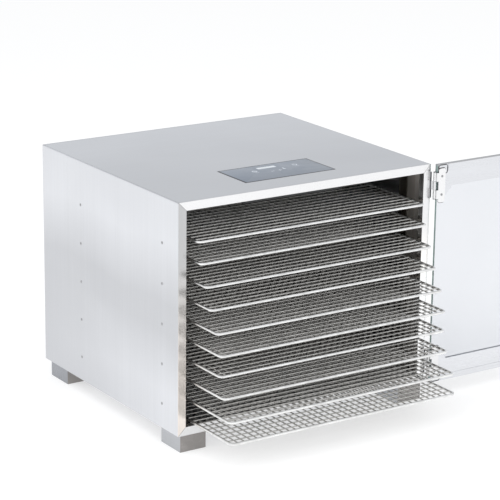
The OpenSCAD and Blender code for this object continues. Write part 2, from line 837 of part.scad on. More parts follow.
module tray_rim() {
    difference() {
        rounded_slab(2 * tray_half, tray_depth, tray_corner_r, -rim_rod / 2, rim_rod / 2);
        rounded_slab(2 * (tray_half - rim_rod), tray_depth - 2 * rim_rod, tray_corner_r - rim_rod,
            -rim_rod, rim_rod);
    }
}

// rim with the wires that run side to side
module tray_cross_wires() {
    count = round((tray_depth - 2 * rim_rod) / cross_wire_pitch) - 1;
    half = tray_half - rim_rod / 2;
    for (k = [1:count])
        translate([0, -tray_depth / 2 + k * tray_depth / (count + 1), -mesh_wire / 2])
            cube([2 * half, mesh_wire, mesh_wire], center = true);
}

// the wires that run front to back, tied by an end wire at the front and at the rear
module tray_long_wires() {
    count = 2 * floor((tray_half - tray_corner_r) / long_wire_pitch) + 1;
    half = tray_depth / 2 - rim_rod - 0.1;
    layer_z = mesh_wire / 2 + layer_gap;
    width = (count - 1) * long_wire_pitch;
    for (k = [0:count - 1])
        translate([-width / 2 + k * long_wire_pitch, 0, layer_z])
            cube([mesh_wire, 2 * half, mesh_wire], center = true);
    for (s = [-1, 1])
        translate([0, s * (half - mesh_wire / 2), layer_z])
            cube([width + mesh_wire, mesh_wire, mesh_wire], center = true);
}

module tray(i) {
    color("silver") translate([0, front - tray_out[i] + tray_depth / 2, tray_z(i)]) {
        tray_rim();
        tray_cross_wires();
        tray_long_wires();
    }
}

module tray_01() tray(0);
module tray_02() tray(1);
module tray_03() tray(2);
module tray_04() tray(3);
module tray_05() tray(4);
module tray_06() tray(5);
module tray_07() tray(6);
module tray_08() tray(7);
module tray_09() tray(8);
module tray_10() tray(9);

// ---------- drawing ----------

top_panel();
side_panel_left();
side_panel_right();
base_panel();
back_panel();
front_frame();
baffle_panel();
motor_plate();
rack_posts();
tray_runners();
rack_rivets();
foot_front_left();
foot_front_right();
foot_rear_left();
foot_rear_right();
foot_screws();
control_panel();
display_window();
control_housing();
control_board();
fan_motor();
motor_bracket();
motor_screws();
heater_ring();
heater_clips();
fan_guard();
thermal_cutout();
temperature_sensor();
power_inlet();
inlet_pins();
rear_screws();
hinge_leaf_top();
hinge_leaf_bottom();
hinge_rivets();
fan_shaft();
fan_blade();
fan_nut();
hinge_pins();
door_glass();
door_band_top();
door_band_bottom();
glass_strips();
hinge_pads();
hinge_clip_top();
hinge_clip_bottom();
clip_screws();
door_handle();
handle_screws();
door_magnets();
tray_01();
tray_02();
tray_03();
tray_04();
tray_05();
tray_06();
tray_07();
tray_08();
tray_09();
tray_10();
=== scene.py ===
"""Food dehydrator: the finish of a brushed steel cabinet with ten wire trays and a glass door.

Metres throughout. X runs along the front to the right, Y runs back, Z is up, and the floor is at Z = 0.
"""

import json
import math

import bmesh
import bpy
from mathutils import Matrix, Vector


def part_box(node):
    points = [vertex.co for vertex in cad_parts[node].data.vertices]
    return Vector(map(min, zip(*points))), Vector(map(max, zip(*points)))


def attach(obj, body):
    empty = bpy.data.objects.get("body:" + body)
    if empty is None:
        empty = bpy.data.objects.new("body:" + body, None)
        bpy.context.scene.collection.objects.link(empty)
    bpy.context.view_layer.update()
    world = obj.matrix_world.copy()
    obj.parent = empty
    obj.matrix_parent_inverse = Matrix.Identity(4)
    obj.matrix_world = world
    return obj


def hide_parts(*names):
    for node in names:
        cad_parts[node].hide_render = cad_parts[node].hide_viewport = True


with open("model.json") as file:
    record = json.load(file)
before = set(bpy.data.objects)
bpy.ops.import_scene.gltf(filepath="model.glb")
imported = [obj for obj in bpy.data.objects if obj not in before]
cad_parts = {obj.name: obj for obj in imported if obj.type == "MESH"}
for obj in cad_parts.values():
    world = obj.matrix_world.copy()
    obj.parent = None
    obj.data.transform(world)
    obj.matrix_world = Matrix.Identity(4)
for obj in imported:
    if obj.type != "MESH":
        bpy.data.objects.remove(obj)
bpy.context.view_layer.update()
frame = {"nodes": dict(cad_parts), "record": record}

MM = 0.001
SLOT_OF = {row["node"]: row["material_slot"] for row in frame["record"]["subparts"]}
BODY_OF = {node: body for body, nodes in frame["record"]["behaviour"]["bodies"].items() for node in nodes}
X, Y, Z = Vector((1, 0, 0)), Vector((0, 1, 0)), Vector((0, 0, 1))

TRAYS = sorted(node for node in BODY_OF if node.startswith("tray_") and node[-2:].isdigit())
WELD = 0.002 * MM


# ---------------------------------------------------------------- shared material effects


def new_group(name, inputs, outputs):
    """A node group with named sockets; gives the tree and its two ends."""
    tree = bpy.data.node_groups.new(name, "ShaderNodeTree")
    for label, kind, default in inputs:
        socket = tree.interface.new_socket(label, in_out="INPUT", socket_type=kind)
        socket.default_value = default
    for label, kind in outputs:
        tree.interface.new_socket(label, in_out="OUTPUT", socket_type=kind)
    return tree, tree.nodes.new("NodeGroupInput"), tree.nodes.new("NodeGroupOutput")


def maths(tree, operation, a, b=None):
    """A Math node on two sockets or numbers; gives its output."""
    made = tree.nodes.new("ShaderNodeMath")
    made.operation = operation
    for index, value in enumerate((a, b)):
        if value is None:
            continue
        if isinstance(value, (int, float)):
            made.inputs[index].default_value = value
        else:
            tree.links.new(value, made.inputs[index])
    return made.outputs[0]


def spread(tree, value, low, high, to_low=0.0, to_high=1.0):
    """A Map Range node; gives its output."""
    made = tree.nodes.new("ShaderNodeMapRange")
    tree.links.new(value, made.inputs["Value"])
    for label, number in (("From Min", low), ("From Max", high), ("To Min", to_low), ("To Max", to_high)):
        made.inputs[label].default_value = number
    return made.outputs["Result"]


def noise(tree, vector, scale, detail=3.0, roughness=0.5):
    """Noise on a vector; gives its value."""
    made = tree.nodes.new("ShaderNodeTexNoise")
    made.inputs["Scale"].default_value = scale
    made.inputs["Detail"].default_value = detail
    made.inputs["Roughness"].default_value = roughness
    tree.links.new(vector, made.inputs["Vector"])
    return made.outputs["Fac"]


def fainter(tree, mask, share):
    """A mask brought down to a share of its strength."""
    return maths(tree, "MULTIPLY", mask, share)


def object_place(tree):
    """Where the surface is, in the object's own frame."""
    return tree.nodes.new("ShaderNodeTexCoord").outputs["Object"]


def vector_maths(tree, operation, a, b=None):
    """A Vector Math node on one or two sockets; gives its output."""
    made = tree.nodes.new("ShaderNodeVectorMath")
    made.operation = operation
    tree.links.new(a, made.inputs[0])
    if b is not None:
        tree.links.new(b, made.inputs[1])
    return made.outputs[0]


def parts_of(tree, vector):
    """The X, Y and Z of a vector."""
    made = tree.nodes.new("ShaderNodeSeparateXYZ")
    tree.links.new(vector, made.inputs[0])
    return made.outputs


def make_brushing_group():
    """Brush lines drawn out along one direction, in three widths."""
    tree, start, end = new_group(
        "brushing",
        [("Stretch", "NodeSocketVector", (1.0, 1.0, 1.0))],
        [("Lines", "NodeSocketFloat"), ("Height", "NodeSocketFloat")],
    )
    drawn_out = vector_maths(tree, "MULTIPLY", object_place(tree), start.outputs["Stretch"])
    broad = noise(tree, drawn_out, scale=0.06, detail=2.0)
    medium = noise(tree, drawn_out, scale=0.32, detail=3.0)
    fine = noise(tree, drawn_out, scale=1.6, detail=4.0, roughness=0.65)
    coarse = maths(tree, "ADD", fainter(tree, broad, 0.35), fainter(tree, medium, 0.35))
    lines = maths(tree, "ADD", coarse, fainter(tree, fine, 0.3))
    tree.links.new(spread(tree, lines, 0.33, 0.67), end.inputs["Lines"])
    tree.links.new(maths(tree, "ADD", fine, fainter(tree, medium, 0.6)), end.inputs["Height"])
    return tree


def make_handling_group():
    """Cloudy patches and faint wipe marks left by hands and cloths."""
    tree, start, end = new_group(
        "handling marks",
        [("Patch Size", "NodeSocketFloat", 9.0)],
        [("Marks", "NodeSocketFloat"), ("Specks", "NodeSocketFloat")],
    )
    place = object_place(tree)
    clouds = tree.nodes.new("ShaderNodeTexNoise")
    clouds.inputs["Detail"].default_value = 4.0
    clouds.inputs["Distortion"].default_value = 0.8
    tree.links.new(place, clouds.inputs["Vector"])
    tree.links.new(start.outputs["Patch Size"], clouds.inputs["Scale"])
    tree.links.new(spread(tree, clouds.outputs["Fac"], 0.35, 0.7), end.inputs["Marks"])
    specks = noise(tree, place, scale=900.0, detail=1.0)
    tree.links.new(spread(tree, specks, 0.68, 0.78), end.inputs["Specks"])
    return tree


OUTLINE_INPUTS = (
    ("Middle", "NodeSocketVector", (0.0, 0.0, 0.0)),
    ("Half Size", "NodeSocketVector", (0.1, 0.1, 0.1)),
)


def make_outline_group():
    """How far a spot lies in from the outline of a flat sheet, level or upright."""
    tree, start, end = new_group(
        "sheet outline",
        OUTLINE_INPUTS,
        [("In From Level Edge", "NodeSocketFloat"), ("In From Upright Edge", "NodeSocketFloat")],
    )
    offset = vector_maths(tree, "SUBTRACT", object_place(tree), start.outputs["Middle"])
    reach = vector_maths(tree, "ABSOLUTE", offset)
    inward = parts_of(tree, vector_maths(tree, "SUBTRACT", start.outputs["Half Size"], reach))
    tree.links.new(maths(tree, "MINIMUM", inward["X"], inward["Y"]), end.inputs["In From Level Edge"])
    tree.links.new(maths(tree, "MINIMUM", inward["X"], inward["Z"]), end.inputs["In From Upright Edge"])
    return tree


MITRE_BLUR = 0.2 * MM
SEAM_CORE = 0.1 * MM
SEAM_EDGE = 0.5 * MM


def make_mitre_group():
    """Which strips of a mitred frame stand upright, and the fine seams where they meet the level ones."""
    tree, start, end = new_group(
        "mitred corners",
        OUTLINE_INPUTS,
        [("Upright", "NodeSocketFloat"), ("Seam", "NodeSocketFloat"), ("Across", "NodeSocketFloat")],
    )
    spot = parts_of(tree, vector_maths(tree, "SUBTRACT", object_place(tree), start.outputs["Middle"]))
    half = parts_of(tree, start.outputs["Half Size"])
    out = maths(tree, "SUBTRACT", maths(tree, "ABSOLUTE", spot["X"]), half["X"])
    rise = maths(tree, "SUBTRACT", maths(tree, "ABSOLUTE", spot["Z"]), half["Z"])
    lead = maths(tree, "SUBTRACT", out, rise)
    tree.links.new(spread(tree, lead, -MITRE_BLUR, MITRE_BLUR), end.inputs["Upright"])
    seam = spread(tree, maths(tree, "ABSOLUTE", lead), SEAM_CORE, SEAM_EDGE, 1.0, 0.0)
    tree.links.new(seam, end.inputs["Seam"])
    across = maths(tree, "DIVIDE", spot["X"], half["X"])
    tree.links.new(spread(tree, across, -1.0, 1.0), end.inputs["Across"])
    return tree


# The heights and depths between which the side sheet's bands of painted sheen come and go.
UPPER_BAND_HEIGHTS = (0.205, 0.29)
LOWER_BAND_HEIGHTS = (0.075, 0.165)
LOWER_BAND_DEPTHS = (-0.16, 0.19)


def make_painted_sheen_group():
    """Painted sheen: where the rolled side sheet is painted brighter, as a painted reflection, in a wavering
    band high up and low down towards the front.
    """
    tree, start, end = new_group(
        "painted sheen bands",
        [("Waver", "NodeSocketFloat", 0.04)],
        [("Bright", "NodeSocketFloat")],
    )
    place = object_place(tree)
    spot = parts_of(tree, place)
    shift = maths(tree, "SUBTRACT", noise(tree, place, scale=5.0, detail=2.0), 0.5)
    height = maths(tree, "ADD", spot["Z"], maths(tree, "MULTIPLY", shift, start.outputs["Waver"]))
    upper = spread(tree, height, *UPPER_BAND_HEIGHTS)
    lower = spread(tree, height, *LOWER_BAND_HEIGHTS, 1.0, 0.0)
    forward = spread(tree, spot["Y"], *LOWER_BAND_DEPTHS, 1.0, 0.1)
    bright = maths(tree, "MAXIMUM", upper, maths(tree, "MULTIPLY", lower, forward))
    tree.links.new(bright, end.inputs["Bright"])
    return tree


BRUSHING = make_brushing_group()
HANDLING = make_handling_group()
OUTLINE = make_outline_group()
MITRE = make_mitre_group()
PAINTED_SHEEN = make_painted_sheen_group()


# ---------------------------------------------------------------- materials

ACROSS_X = (12.0, 900.0, 900.0)
ALONG_Y = (900.0, 12.0, 900.0)
UPRIGHT = (900.0, 900.0, 14.0)
BRUSH_DEPTH = 0.01 * MM


def new_material(name):
    """An empty material; gives it with its tree and its Principled shader."""
    material = bpy.data.materials.new(name)
    material.use_nodes = True
    tree = material.node_tree
    return material, tree, tree.nodes["Principled BSDF"]


def place_group(tree, group):
    """One copy of a shared effect in a material."""
    made = tree.nodes.new("ShaderNodeGroup")
    made.node_tree = group
    return made


def place_round(tree, group, node_name):
    """One copy of a shared effect that follows the outline of a CAD piece."""
    low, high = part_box(node_name)
    made = place_group(tree, group)
    made.inputs["Middle"].default_value = (low + high) / 2
    made.inputs["Half Size"].default_value = (high - low) / 2
    return made


def place_marks(tree, patch_size):
    """Hand marks and dust specks, as two masks."""
    made = place_group(tree, HANDLING)
    made.inputs["Patch Size"].default_value = patch_size
    return made.outputs["Marks"], made.outputs["Specks"]


def colour_socket(sockets, label):
    """The colour socket of a Mix node, which also has number and vector sockets of that label."""
    return next(socket for socket in sockets if socket.name == label and socket.type == "RGBA")


def blend_colours(tree, factor, dark, light):
    """A colour that runs from dark to light with a mask."""
    made = tree.nodes.new("ShaderNodeMix")
    made.data_type = "RGBA"
    tree.links.new(factor, made.inputs["Factor"])
    for label, colour in (("A", dark), ("B", light)):
        socket = colour_socket(made.inputs, label)
        if isinstance(colour, tuple):
            socket.default_value = (*colour, 1.0)
        else:
            tree.links.new(colour, socket)
    return colour_socket(made.outputs, "Result")


def scaled(colour, factor):
    """A colour made darker or lighter, up to white."""
    return tuple(min(1.0, channel * factor) for channel in colour)


def grey(level):
    """A grey, which may be brighter than white where it multiplies a colour."""
    return (level, level, level)


def add_bump(tree, shader, height, distance, strength=0.4):
    """Fine relief from a height mask."""
    bump = tree.nodes.new("ShaderNodeBump")
    bump.inputs["Distance"].default_value = distance
    bump.inputs["Strength"].default_value = strength
    tree.links.new(height, bump.inputs["Height"])
    tree.links.new(bump.outputs["Normal"], shader.inputs["Normal"])


def set_varying(tree, shader, colour, mask, smooth_rough, dull_rough):
    """Feeds the shader a colour, and a roughness that goes from smooth to dull with a mask."""
    tree.links.new(colour, shader.inputs["Base Color"])
    tree.links.new(spread(tree, mask, 0.0, 1.0, smooth_rough, dull_rough), shader.inputs["Roughness"])


def tinted(tree, colour, factor_colour):
    """One colour multiplied by another."""
    made = tree.nodes.new("ShaderNodeMix")
    made.data_type = "RGBA"
    made.blend_type = "MULTIPLY"
    made.inputs["Factor"].default_value = 1.0
    tree.links.new(colour, colour_socket(made.inputs, "A"))
    tree.links.new(factor_colour, colour_socket(made.inputs, "B"))
    return colour_socket(made.outputs, "Result")


def brushed_steel(name, colour, stretch, rough=0.3, contrast=0.05, marked=0.2, patch=3.5, shade=None):
    """Sheet or bar with brush lines, hand marks and specks; shade, where given, multiplies it over the whole
    piece with painted light and shade or a fine dark seam line.
    """
    material, tree, shader = new_material(name)
    shader.inputs["Metallic"].default_value = 1.0
    brush = place_group(tree, BRUSHING)
    brush.inputs["Stretch"].default_value = stretch
    lines = brush.outputs["Lines"]
    marks, specks = place_marks(tree, patch)
    base = blend_colours(tree, lines, scaled(colour, 1 - contrast), scaled(colour, 1 + contrast))
    clouded = blend_colours(tree, fainter(tree, marks, marked), base, scaled(colour, 0.92))
    speckled = blend_colours(tree, fainter(tree, specks, 0.12), clouded, scaled(colour, 0.6))
    if shade:
        speckled = tinted(tree, speckled, shade(tree))
    tree.links.new(speckled, shader.inputs["Base Color"])
    rough_lines = spread(tree, lines, 0.0, 1.0, rough - 0.04, rough + 0.05)
    tree.links.new(maths(tree, "ADD", rough_lines, fainter(tree, marks, 0.05)), shader.inputs["Roughness"])
    add_bump(tree, shader, brush.outputs["Height"], BRUSH_DEPTH)
    return material


def outline_shade(node_name, edge, width, inset=0.0, dark=0.6):
    """A thin dark line round a sheet, where its edge turns or meets the next one."""

    def shade(tree):
        outline = place_round(tree, OUTLINE, node_name)
        off_line = maths(tree, "ABSOLUTE", maths(tree, "SUBTRACT", outline.outputs[edge], inset))
        line = spread(tree, off_line, width * 0.4, width, 1.0, 0.0)
        return blend_colours(tree, line, grey(1.0), grey(dark))

    return shade


# Where the top sheet's painted reflection brightens from front to back.
TOP_FADE_DEPTHS = (-0.12, 0.17)


def top_sheen_and_seam(front, back):
    """The top sheet: painted a little brighter towards the back as a painted reflection, with its folded edge
    as a fine line.
    """
    edge_line = outline_shade("top_panel", "In From Level Edge", 0.5 * MM, inset=0.8 * MM)

    def shade(tree):
        along = spread(tree, parts_of(tree, object_place(tree))["Y"], *TOP_FADE_DEPTHS)
        return tinted(tree, blend_colours(tree, along, grey(front), grey(back)), edge_line(tree))

    return shade


# Heights over which the upright strips' painted reflection brightens towards the bottom.
STRIP_FADE_HEIGHTS = (0.1, 0.27)


def frame_sheen_and_seams(level, left, right, low):
    """Painted light on the front frame: level strips and upright ones in painted tones, the uprights painted
    darker on the left and brighter lower down as painted reflections, with fine seams at the mitres.
    """

    def shade(tree):
        mitre = place_round(tree, MITRE, "front_frame").outputs
        upright = blend_colours(tree, mitre["Across"], grey(left), grey(right))
        height = parts_of(tree, object_place(tree))["Z"]
        lowness = spread(tree, height, *STRIP_FADE_HEIGHTS, 1.0, 0.0)
        upright = tinted(tree, upright, blend_colours(tree, lowness, grey(1.0), low))
        strips = blend_colours(tree, mitre["Upright"], grey(level), upright)
        return blend_colours(tree, fainter(tree, mitre["Seam"], 0.7), strips, grey(0.2))

    return shade


def side_painted_sheen(dull, bright):
    """The side sheet's broad bands of painted sheen: a painted reflection, darker between them."""

    def shade(tree):
        polish = place_group(tree, PAINTED_SHEEN)
        return blend_colours(tree, polish.outputs["Bright"], grey(dull), grey(bright))

    return shade


# Where the hinge leaf's painted shadow ends, in front of the frame, and how soft its edge is.
LEAF_STANDOFF = 1.4 * MM
LEAF_BLUR = 0.4 * MM


def leaf_painted_shadow(tree):
    """The hinge leaf: a painted shadow, dark where it lies in the shade against the cabinet, its own colour
    on the arm and knuckle before it.
    """
    arm_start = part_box("front_frame")[0].y - LEAF_STANDOFF
    depth = parts_of(tree, object_place(tree))["Y"]
    bright = spread(tree, depth, arm_start - LEAF_BLUR, arm_start, 1.0, 0.0)
    return blend_colours(tree, bright, (0.16, 0.16, 0.17), grey(1.0))


def plated_wire(name, colour, rough):
    """Bright plated rod and wire, duller in patches where it has been washed and welded."""
    material, tree, shader = new_material(name)
    shader.inputs["Metallic"].default_value = 1.0
    marks, specks = place_marks(tree, 55.0)
    tint = blend_colours(tree, marks, colour, scaled(colour, 0.8))
    spotted = blend_colours(tree, fainter(tree, specks, 0.4), tint, scaled(colour, 0.55))
    set_varying(tree, shader, spotted, marks, rough, rough + 0.14)
    add_bump(tree, shader, noise(tree, object_place(tree), scale=1400.0, detail=2.0), 0.03 * MM, 0.3)
    return material


def moulded(name, colour, rough=0.45, grain=1600.0, depth=0.04 * MM, coat=0.0):
    """Moulded plastic, enamel or rubber with a fine grain, handled patches and dust specks."""
    material, tree, shader = new_material(name)
    shader.inputs["Coat Weight"].default_value = coat
    shader.inputs["Coat Roughness"].default_value = 0.15
    marks, specks = place_marks(tree, 30.0)
    tint = blend_colours(tree, marks, scaled(colour, 0.94), scaled(colour, 1.06))
    dusty = blend_colours(tree, fainter(tree, specks, 0.25), tint, scaled(colour, 1.5))
    set_varying(tree, shader, dusty, marks, rough - 0.05, rough + 0.1)
    add_bump(tree, shader, noise(tree, object_place(tree), scale=grain, detail=2.0), depth, 0.35)
    return material


PANEL_LIP = 4 * MM
# Width of the painted shadow line round the film, just inside its lip, and how soft its inner edge is.
EDGE_SHADOW = 1.8 * MM
EDGE_SHADOW_BLUR = 0.8 * MM


def touch_film(name, colour):
    """The printed film of the touch panel: painted lighter towards the back as a painted reflection, with a
    thin dark line of painted shadow round its edge.
    """
    material, tree, shader = new_material(name)
    inward = place_round(tree, OUTLINE, "control_panel").outputs["In From Level Edge"]
    edge_shadow_end = PANEL_LIP + EDGE_SHADOW
    edge_shadow = spread(tree, inward, edge_shadow_end, edge_shadow_end + EDGE_SHADOW_BLUR, 1.0, 0.0)
    low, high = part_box("control_panel")
    back = spread(tree, parts_of(tree, object_place(tree))["Y"], low.y, high.y)
    marks, specks = place_marks(tree, 30.0)
    # painted reflection: the film lighter towards the back
    graded = blend_colours(tree, back, scaled(colour, 0.9), scaled(colour, 1.22))
    smeared = blend_colours(tree, fainter(tree, marks, 0.2), graded, scaled(colour, 1.15))
    dusty = blend_colours(tree, fainter(tree, specks, 0.25), smeared, scaled(colour, 1.5))
    set_varying(tree, shader, blend_colours(tree, edge_shadow, dusty, scaled(colour, 0.12)), marks, 0.3, 0.42)
    add_bump(tree, shader, noise(tree, object_place(tree), scale=700.0, detail=2.0), 0.01 * MM, 0.35)
    return material


GLASS_IOR = 1.5


def door_pane(name, tint):
    """Clear toughened glass with faint wipe marks; light still falls through it onto what lies behind."""
    material, tree, shader = new_material(name)
    shader.inputs["Transmission Weight"].default_value = 1.0
    shader.inputs["IOR"].default_value = GLASS_IOR
    marks = place_marks(tree, 6.0)[0]
    set_varying(tree, shader, blend_colours(tree, marks, tint, scaled(tint, 0.985)), marks, 0.0, 0.035)
    clear = tree.nodes.new("ShaderNodeBsdfTransparent")
    clear.inputs["Color"].default_value = (*scaled(tint, 0.97), 1.0)
    rays = tree.nodes.new("ShaderNodeLightPath")
    choose = tree.nodes.new("ShaderNodeMixShader")
    tree.links.new(rays.outputs["Is Shadow Ray"], choose.inputs["Fac"])
    tree.links.new(shader.outputs[0], choose.inputs[1])
    tree.links.new(clear.outputs[0], choose.inputs[2])
    tree.links.new(choose.outputs[0], tree.nodes["Material Output"].inputs["Surface"])
    return material


def pane_edge(name, colour):
    """The ground edge of the glass, where its green shows."""
    material, tree, shader = new_material(name)
    shader.inputs["Transmission Weight"].default_value = 0.25
    shader.inputs["IOR"].default_value = GLASS_IOR
    marks = place_marks(tree, 80.0)[0]
    set_varying(tree, shader, blend_colours(tree, marks, scaled(colour, 0.85), colour), marks, 0.15, 0.35)
    return material


def heated_tube(name, colour):
    """Steel tube gone brown and blue in bands from heat."""
    material, tree, shader = new_material(name)
    shader.inputs["Metallic"].default_value = 1.0
    bands = spread(tree, noise(tree, object_place(tree), scale=24.0, detail=3.0), 0.35, 0.65)
    marks, specks = place_marks(tree, 9.0)
    heated = blend_colours(tree, bands, colour, scaled(tuple(reversed(colour)), 1.1))
    set_varying(tree, shader, blend_colours(tree, specks, heated, scaled(colour, 0.5)), marks, 0.35, 0.55)
    add_bump(tree, shader, specks, 0.03 * MM)
    return material


def board_mask(name, colour):
    """Circuit board with faint tracks under its mask."""
    material, tree, shader = new_material(name)
    cells = tree.nodes.new("ShaderNodeTexVoronoi")
    cells.distance = "CHEBYCHEV"
    cells.feature = "DISTANCE_TO_EDGE"
    cells.inputs["Scale"].default_value = 180.0
    tree.links.new(object_place(tree), cells.inputs["Vector"])
    tracks = spread(tree, cells.outputs["Distance"], 0.02, 0.08, 1.0, 0.0)
    set_varying(tree, shader, blend_colours(tree, tracks, colour, scaled(colour, 1.8)), tracks, 0.3, 0.45)
    add_bump(tree, shader, tracks, 0.05 * MM)
    return material


def plain_floor(name, colour):
    """The pale studio floor."""
    material, tree, shader = new_material(name)
    shader.inputs["Specular IOR Level"].default_value = 0.0
    shader.inputs["Emission Color"].default_value = (1.0, 1.0, 1.0, 1.0)
    shader.inputs["Emission Strength"].default_value = 0.5
    shader.inputs["Roughness"].default_value = 0.9
    faint = noise(tree, object_place(tree), scale=2.0, detail=2.0)
    tree.links.new(blend_colours(tree, faint, scaled(colour, 0.995), colour), shader.inputs["Base Color"])
    return material


STEEL = (0.655, 0.665, 0.69)
# The top sheet: a darker copy of the cabinet steel as painted shade, with a painted reflection brightening it
# towards the back.
TOP_STEEL = brushed_steel(
    "top sheet",
    (0.61, 0.625, 0.655),
    ACROSS_X,
    rough=0.34,
    contrast=0.035,
    shade=top_sheen_and_seam(front=1.02, back=1.14),
)
SIDE_STEEL = brushed_steel(
    "side sheet",
    STEEL,
    UPRIGHT,
    rough=0.3,
    contrast=0.04,
    marked=0.4,
    # painted reflection: the side sheet darker in the middle, brighter in bands above and below
    shade=side_painted_sheen(dull=0.88, bright=1.13),
)
PLAIN_STEEL = brushed_steel("back and base sheet", STEEL, UPRIGHT, rough=0.32, contrast=0.04)
FRAME_STEEL = brushed_steel(
    "front frame sheet",
    (0.84, 0.84, 0.845),
    UPRIGHT,
    rough=0.22,
    contrast=0.03,
    # painted light: the strips in tones of painted reflection, the left upright darkest, the low uprights
    # warm and bright
    shade=frame_sheen_and_seams(level=0.95, left=0.6, right=0.95, low=(1.75, 1.62, 1.5)),
)
# The chamber's inner sheet: a dark, brownish copy of the cabinet steel as painted shade.
SHADED_CHAMBER_STEEL = brushed_steel("chamber sheet painted shade", (0.29, 0.265, 0.235), UPRIGHT, rough=0.42, contrast=0.06)
FOOT_STEEL = brushed_steel("foot sheet", (0.48, 0.49, 0.51), UPRIGHT, rough=0.22, contrast=0.08, marked=0.5)
# The ends of the feet: a darker, brownish copy of the foot steel as painted shade, its strong marks standing
# for painted reflections.
SHADED_FOOT_END = brushed_steel(
    "foot end painted shade",
    (0.33, 0.315, 0.305),
    ACROSS_X,
    rough=0.14,
    contrast=0.14,
    marked=3.0,
    patch=45.0,
)
# The rear feet: a darker copy of the foot steel as painted shade.
SHADED_REAR_FOOT_STEEL = brushed_steel(
    "rear foot sheet painted shade",
    (0.345, 0.355, 0.38),
    UPRIGHT,
    rough=0.24,
    contrast=0.08,
    marked=0.5,
)
BAND_STEEL = brushed_steel("door band sheet", (0.75, 0.76, 0.785), ACROSS_X, rough=0.26, contrast=0.04)
# The top band: a darker copy of the band steel as painted shade, with a fine dark line along its edges.
SHADED_TOP_BAND_STEEL = brushed_steel(
    "top band sheet painted shade",
    (0.69, 0.7, 0.725),
    ACROSS_X,
    rough=0.26,
    contrast=0.04,
    shade=outline_shade("door_band_top", "In From Upright Edge", 0.55 * MM),
)
FASTENER_STEEL = brushed_steel("plated fasteners", (0.42, 0.42, 0.43), ALONG_Y, rough=0.3, contrast=0.05)
HANDLE_STEEL = brushed_steel("polished grip", (0.74, 0.74, 0.75), UPRIGHT, rough=0.14, contrast=0.03)
# The rim and the mesh are one plated wire: the rim a near-white copy as painted highlight, the mesh a darker
# copy as painted shade.
LIT_TRAY_RIM = plated_wire("tray rim painted highlight", (0.97, 0.97, 0.96), rough=0.26)
SHADED_MESH_WIRE = plated_wire("tray mesh painted shade", (0.65, 0.64, 0.62), rough=0.3)
GUARD_WIRE = plated_wire("guard wire", (0.66, 0.66, 0.67), rough=0.25)
CONTACT_BRASS = plated_wire("inlet contacts", (0.8, 0.62, 0.3), rough=0.25)
LEAF_STEEL = brushed_steel("hinge leaf", (0.8, 0.8, 0.81), UPRIGHT, rough=0.3, shade=leaf_painted_shadow)
FAN_ALUMINIUM = brushed_steel("fan sheet", (0.68, 0.69, 0.71), ALONG_Y, rough=0.35, contrast=0.06)
HEATED_STEEL = heated_tube("heater tube", (0.32, 0.24, 0.19))
PANEL_FILM = touch_film("touch film", (0.165, 0.19, 0.23))
DISPLAY_FILM = moulded("display", (0.62, 0.66, 0.7), rough=0.25, grain=500.0, depth=0.005 * MM)
PRINT_INK = moulded("printed marks", (0.62, 0.66, 0.71), rough=0.4, grain=900.0, depth=0.005 * MM)
SEGMENT_INK = moulded("display segments", (0.55, 0.6, 0.6), rough=0.3, grain=900.0, depth=0.005 * MM)
BLACK_PLASTIC = moulded("black moulding", (0.035, 0.035, 0.037))
MOTOR_ENAMEL = moulded("motor enamel", (0.05, 0.05, 0.055), rough=0.35, coat=0.2)
STRIP_RUBBER = moulded("glass strip", (0.72, 0.73, 0.74), rough=0.5, grain=900.0)
MAGNET_CASE = moulded("magnet case", (0.06, 0.06, 0.065), rough=0.6)
CLIP_ENAMEL = brushed_steel("hinge clip plate", (0.82, 0.82, 0.825), UPRIGHT, rough=0.25, contrast=0.03)
BOARD_GREEN = board_mask("circuit board", (0.02, 0.14, 0.06))
PANE = door_pane("door pane", (0.8, 0.815, 0.845))
PANE_EDGE = pane_edge("pane edge", (0.42, 0.56, 0.53))

MATERIAL_OF_SLOT = {
    "brushed_steel": TOP_STEEL,
    "side_steel": SIDE_STEEL,
    "frame_steel": FRAME_STEEL,
    "inner_steel": SHADED_CHAMBER_STEEL,
    "foot_steel": FOOT_STEEL,
    "fastener_steel": FASTENER_STEEL,
    "panel_grey": PANEL_FILM,
    "display": DISPLAY_FILM,
    "black_plastic": BLACK_PLASTIC,
    "circuit_board": BOARD_GREEN,
    "motor_black": MOTOR_ENAMEL,
    "heater_steel": HEATED_STEEL,
    "guard_chrome": GUARD_WIRE,
    "contact_brass": CONTACT_BRASS,
    "hinge_dark": LEAF_STEEL,
    "fan_aluminium": FAN_ALUMINIUM,
    "clear_glass": PANE,
    "band_steel": BAND_STEEL,
    "clear_rubber": STRIP_RUBBER,
    "hinge_light": CLIP_ENAMEL,
    "handle_steel": HANDLE_STEEL,
    "magnet": MAGNET_CASE,
    "tray_wire": LIT_TRAY_RIM,
}


def material_of(node_name):
    """The finish of a CAD piece."""
    if node_name in ("back_panel", "base_panel"):
        return PLAIN_STEEL
    if node_name == "door_band_top":
        return SHADED_TOP_BAND_STEEL
    return MATERIAL_OF_SLOT[SLOT_OF[node_name]]


def dress_cad_nodes():
    """Gives every CAD node its finish."""
    for name, cad in frame["nodes"].items():
        cad.data.materials.clear()
        cad.data.materials.append(material_of(name))


# ---------------------------------------------------------------- mesh tools


def add_piece(name, mesh, material, body, stands_for=()):
    """Puts a finished mesh in the scene, on its body, and hides the CAD pieces it stands for."""
    piece = bpy.data.objects.new(name, mesh)
    bpy.context.scene.collection.objects.link(piece)
    if not mesh.materials:
        mesh.materials.append(material)
    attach(piece, body)
    if stands_for:
        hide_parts(*stands_for)
    return piece


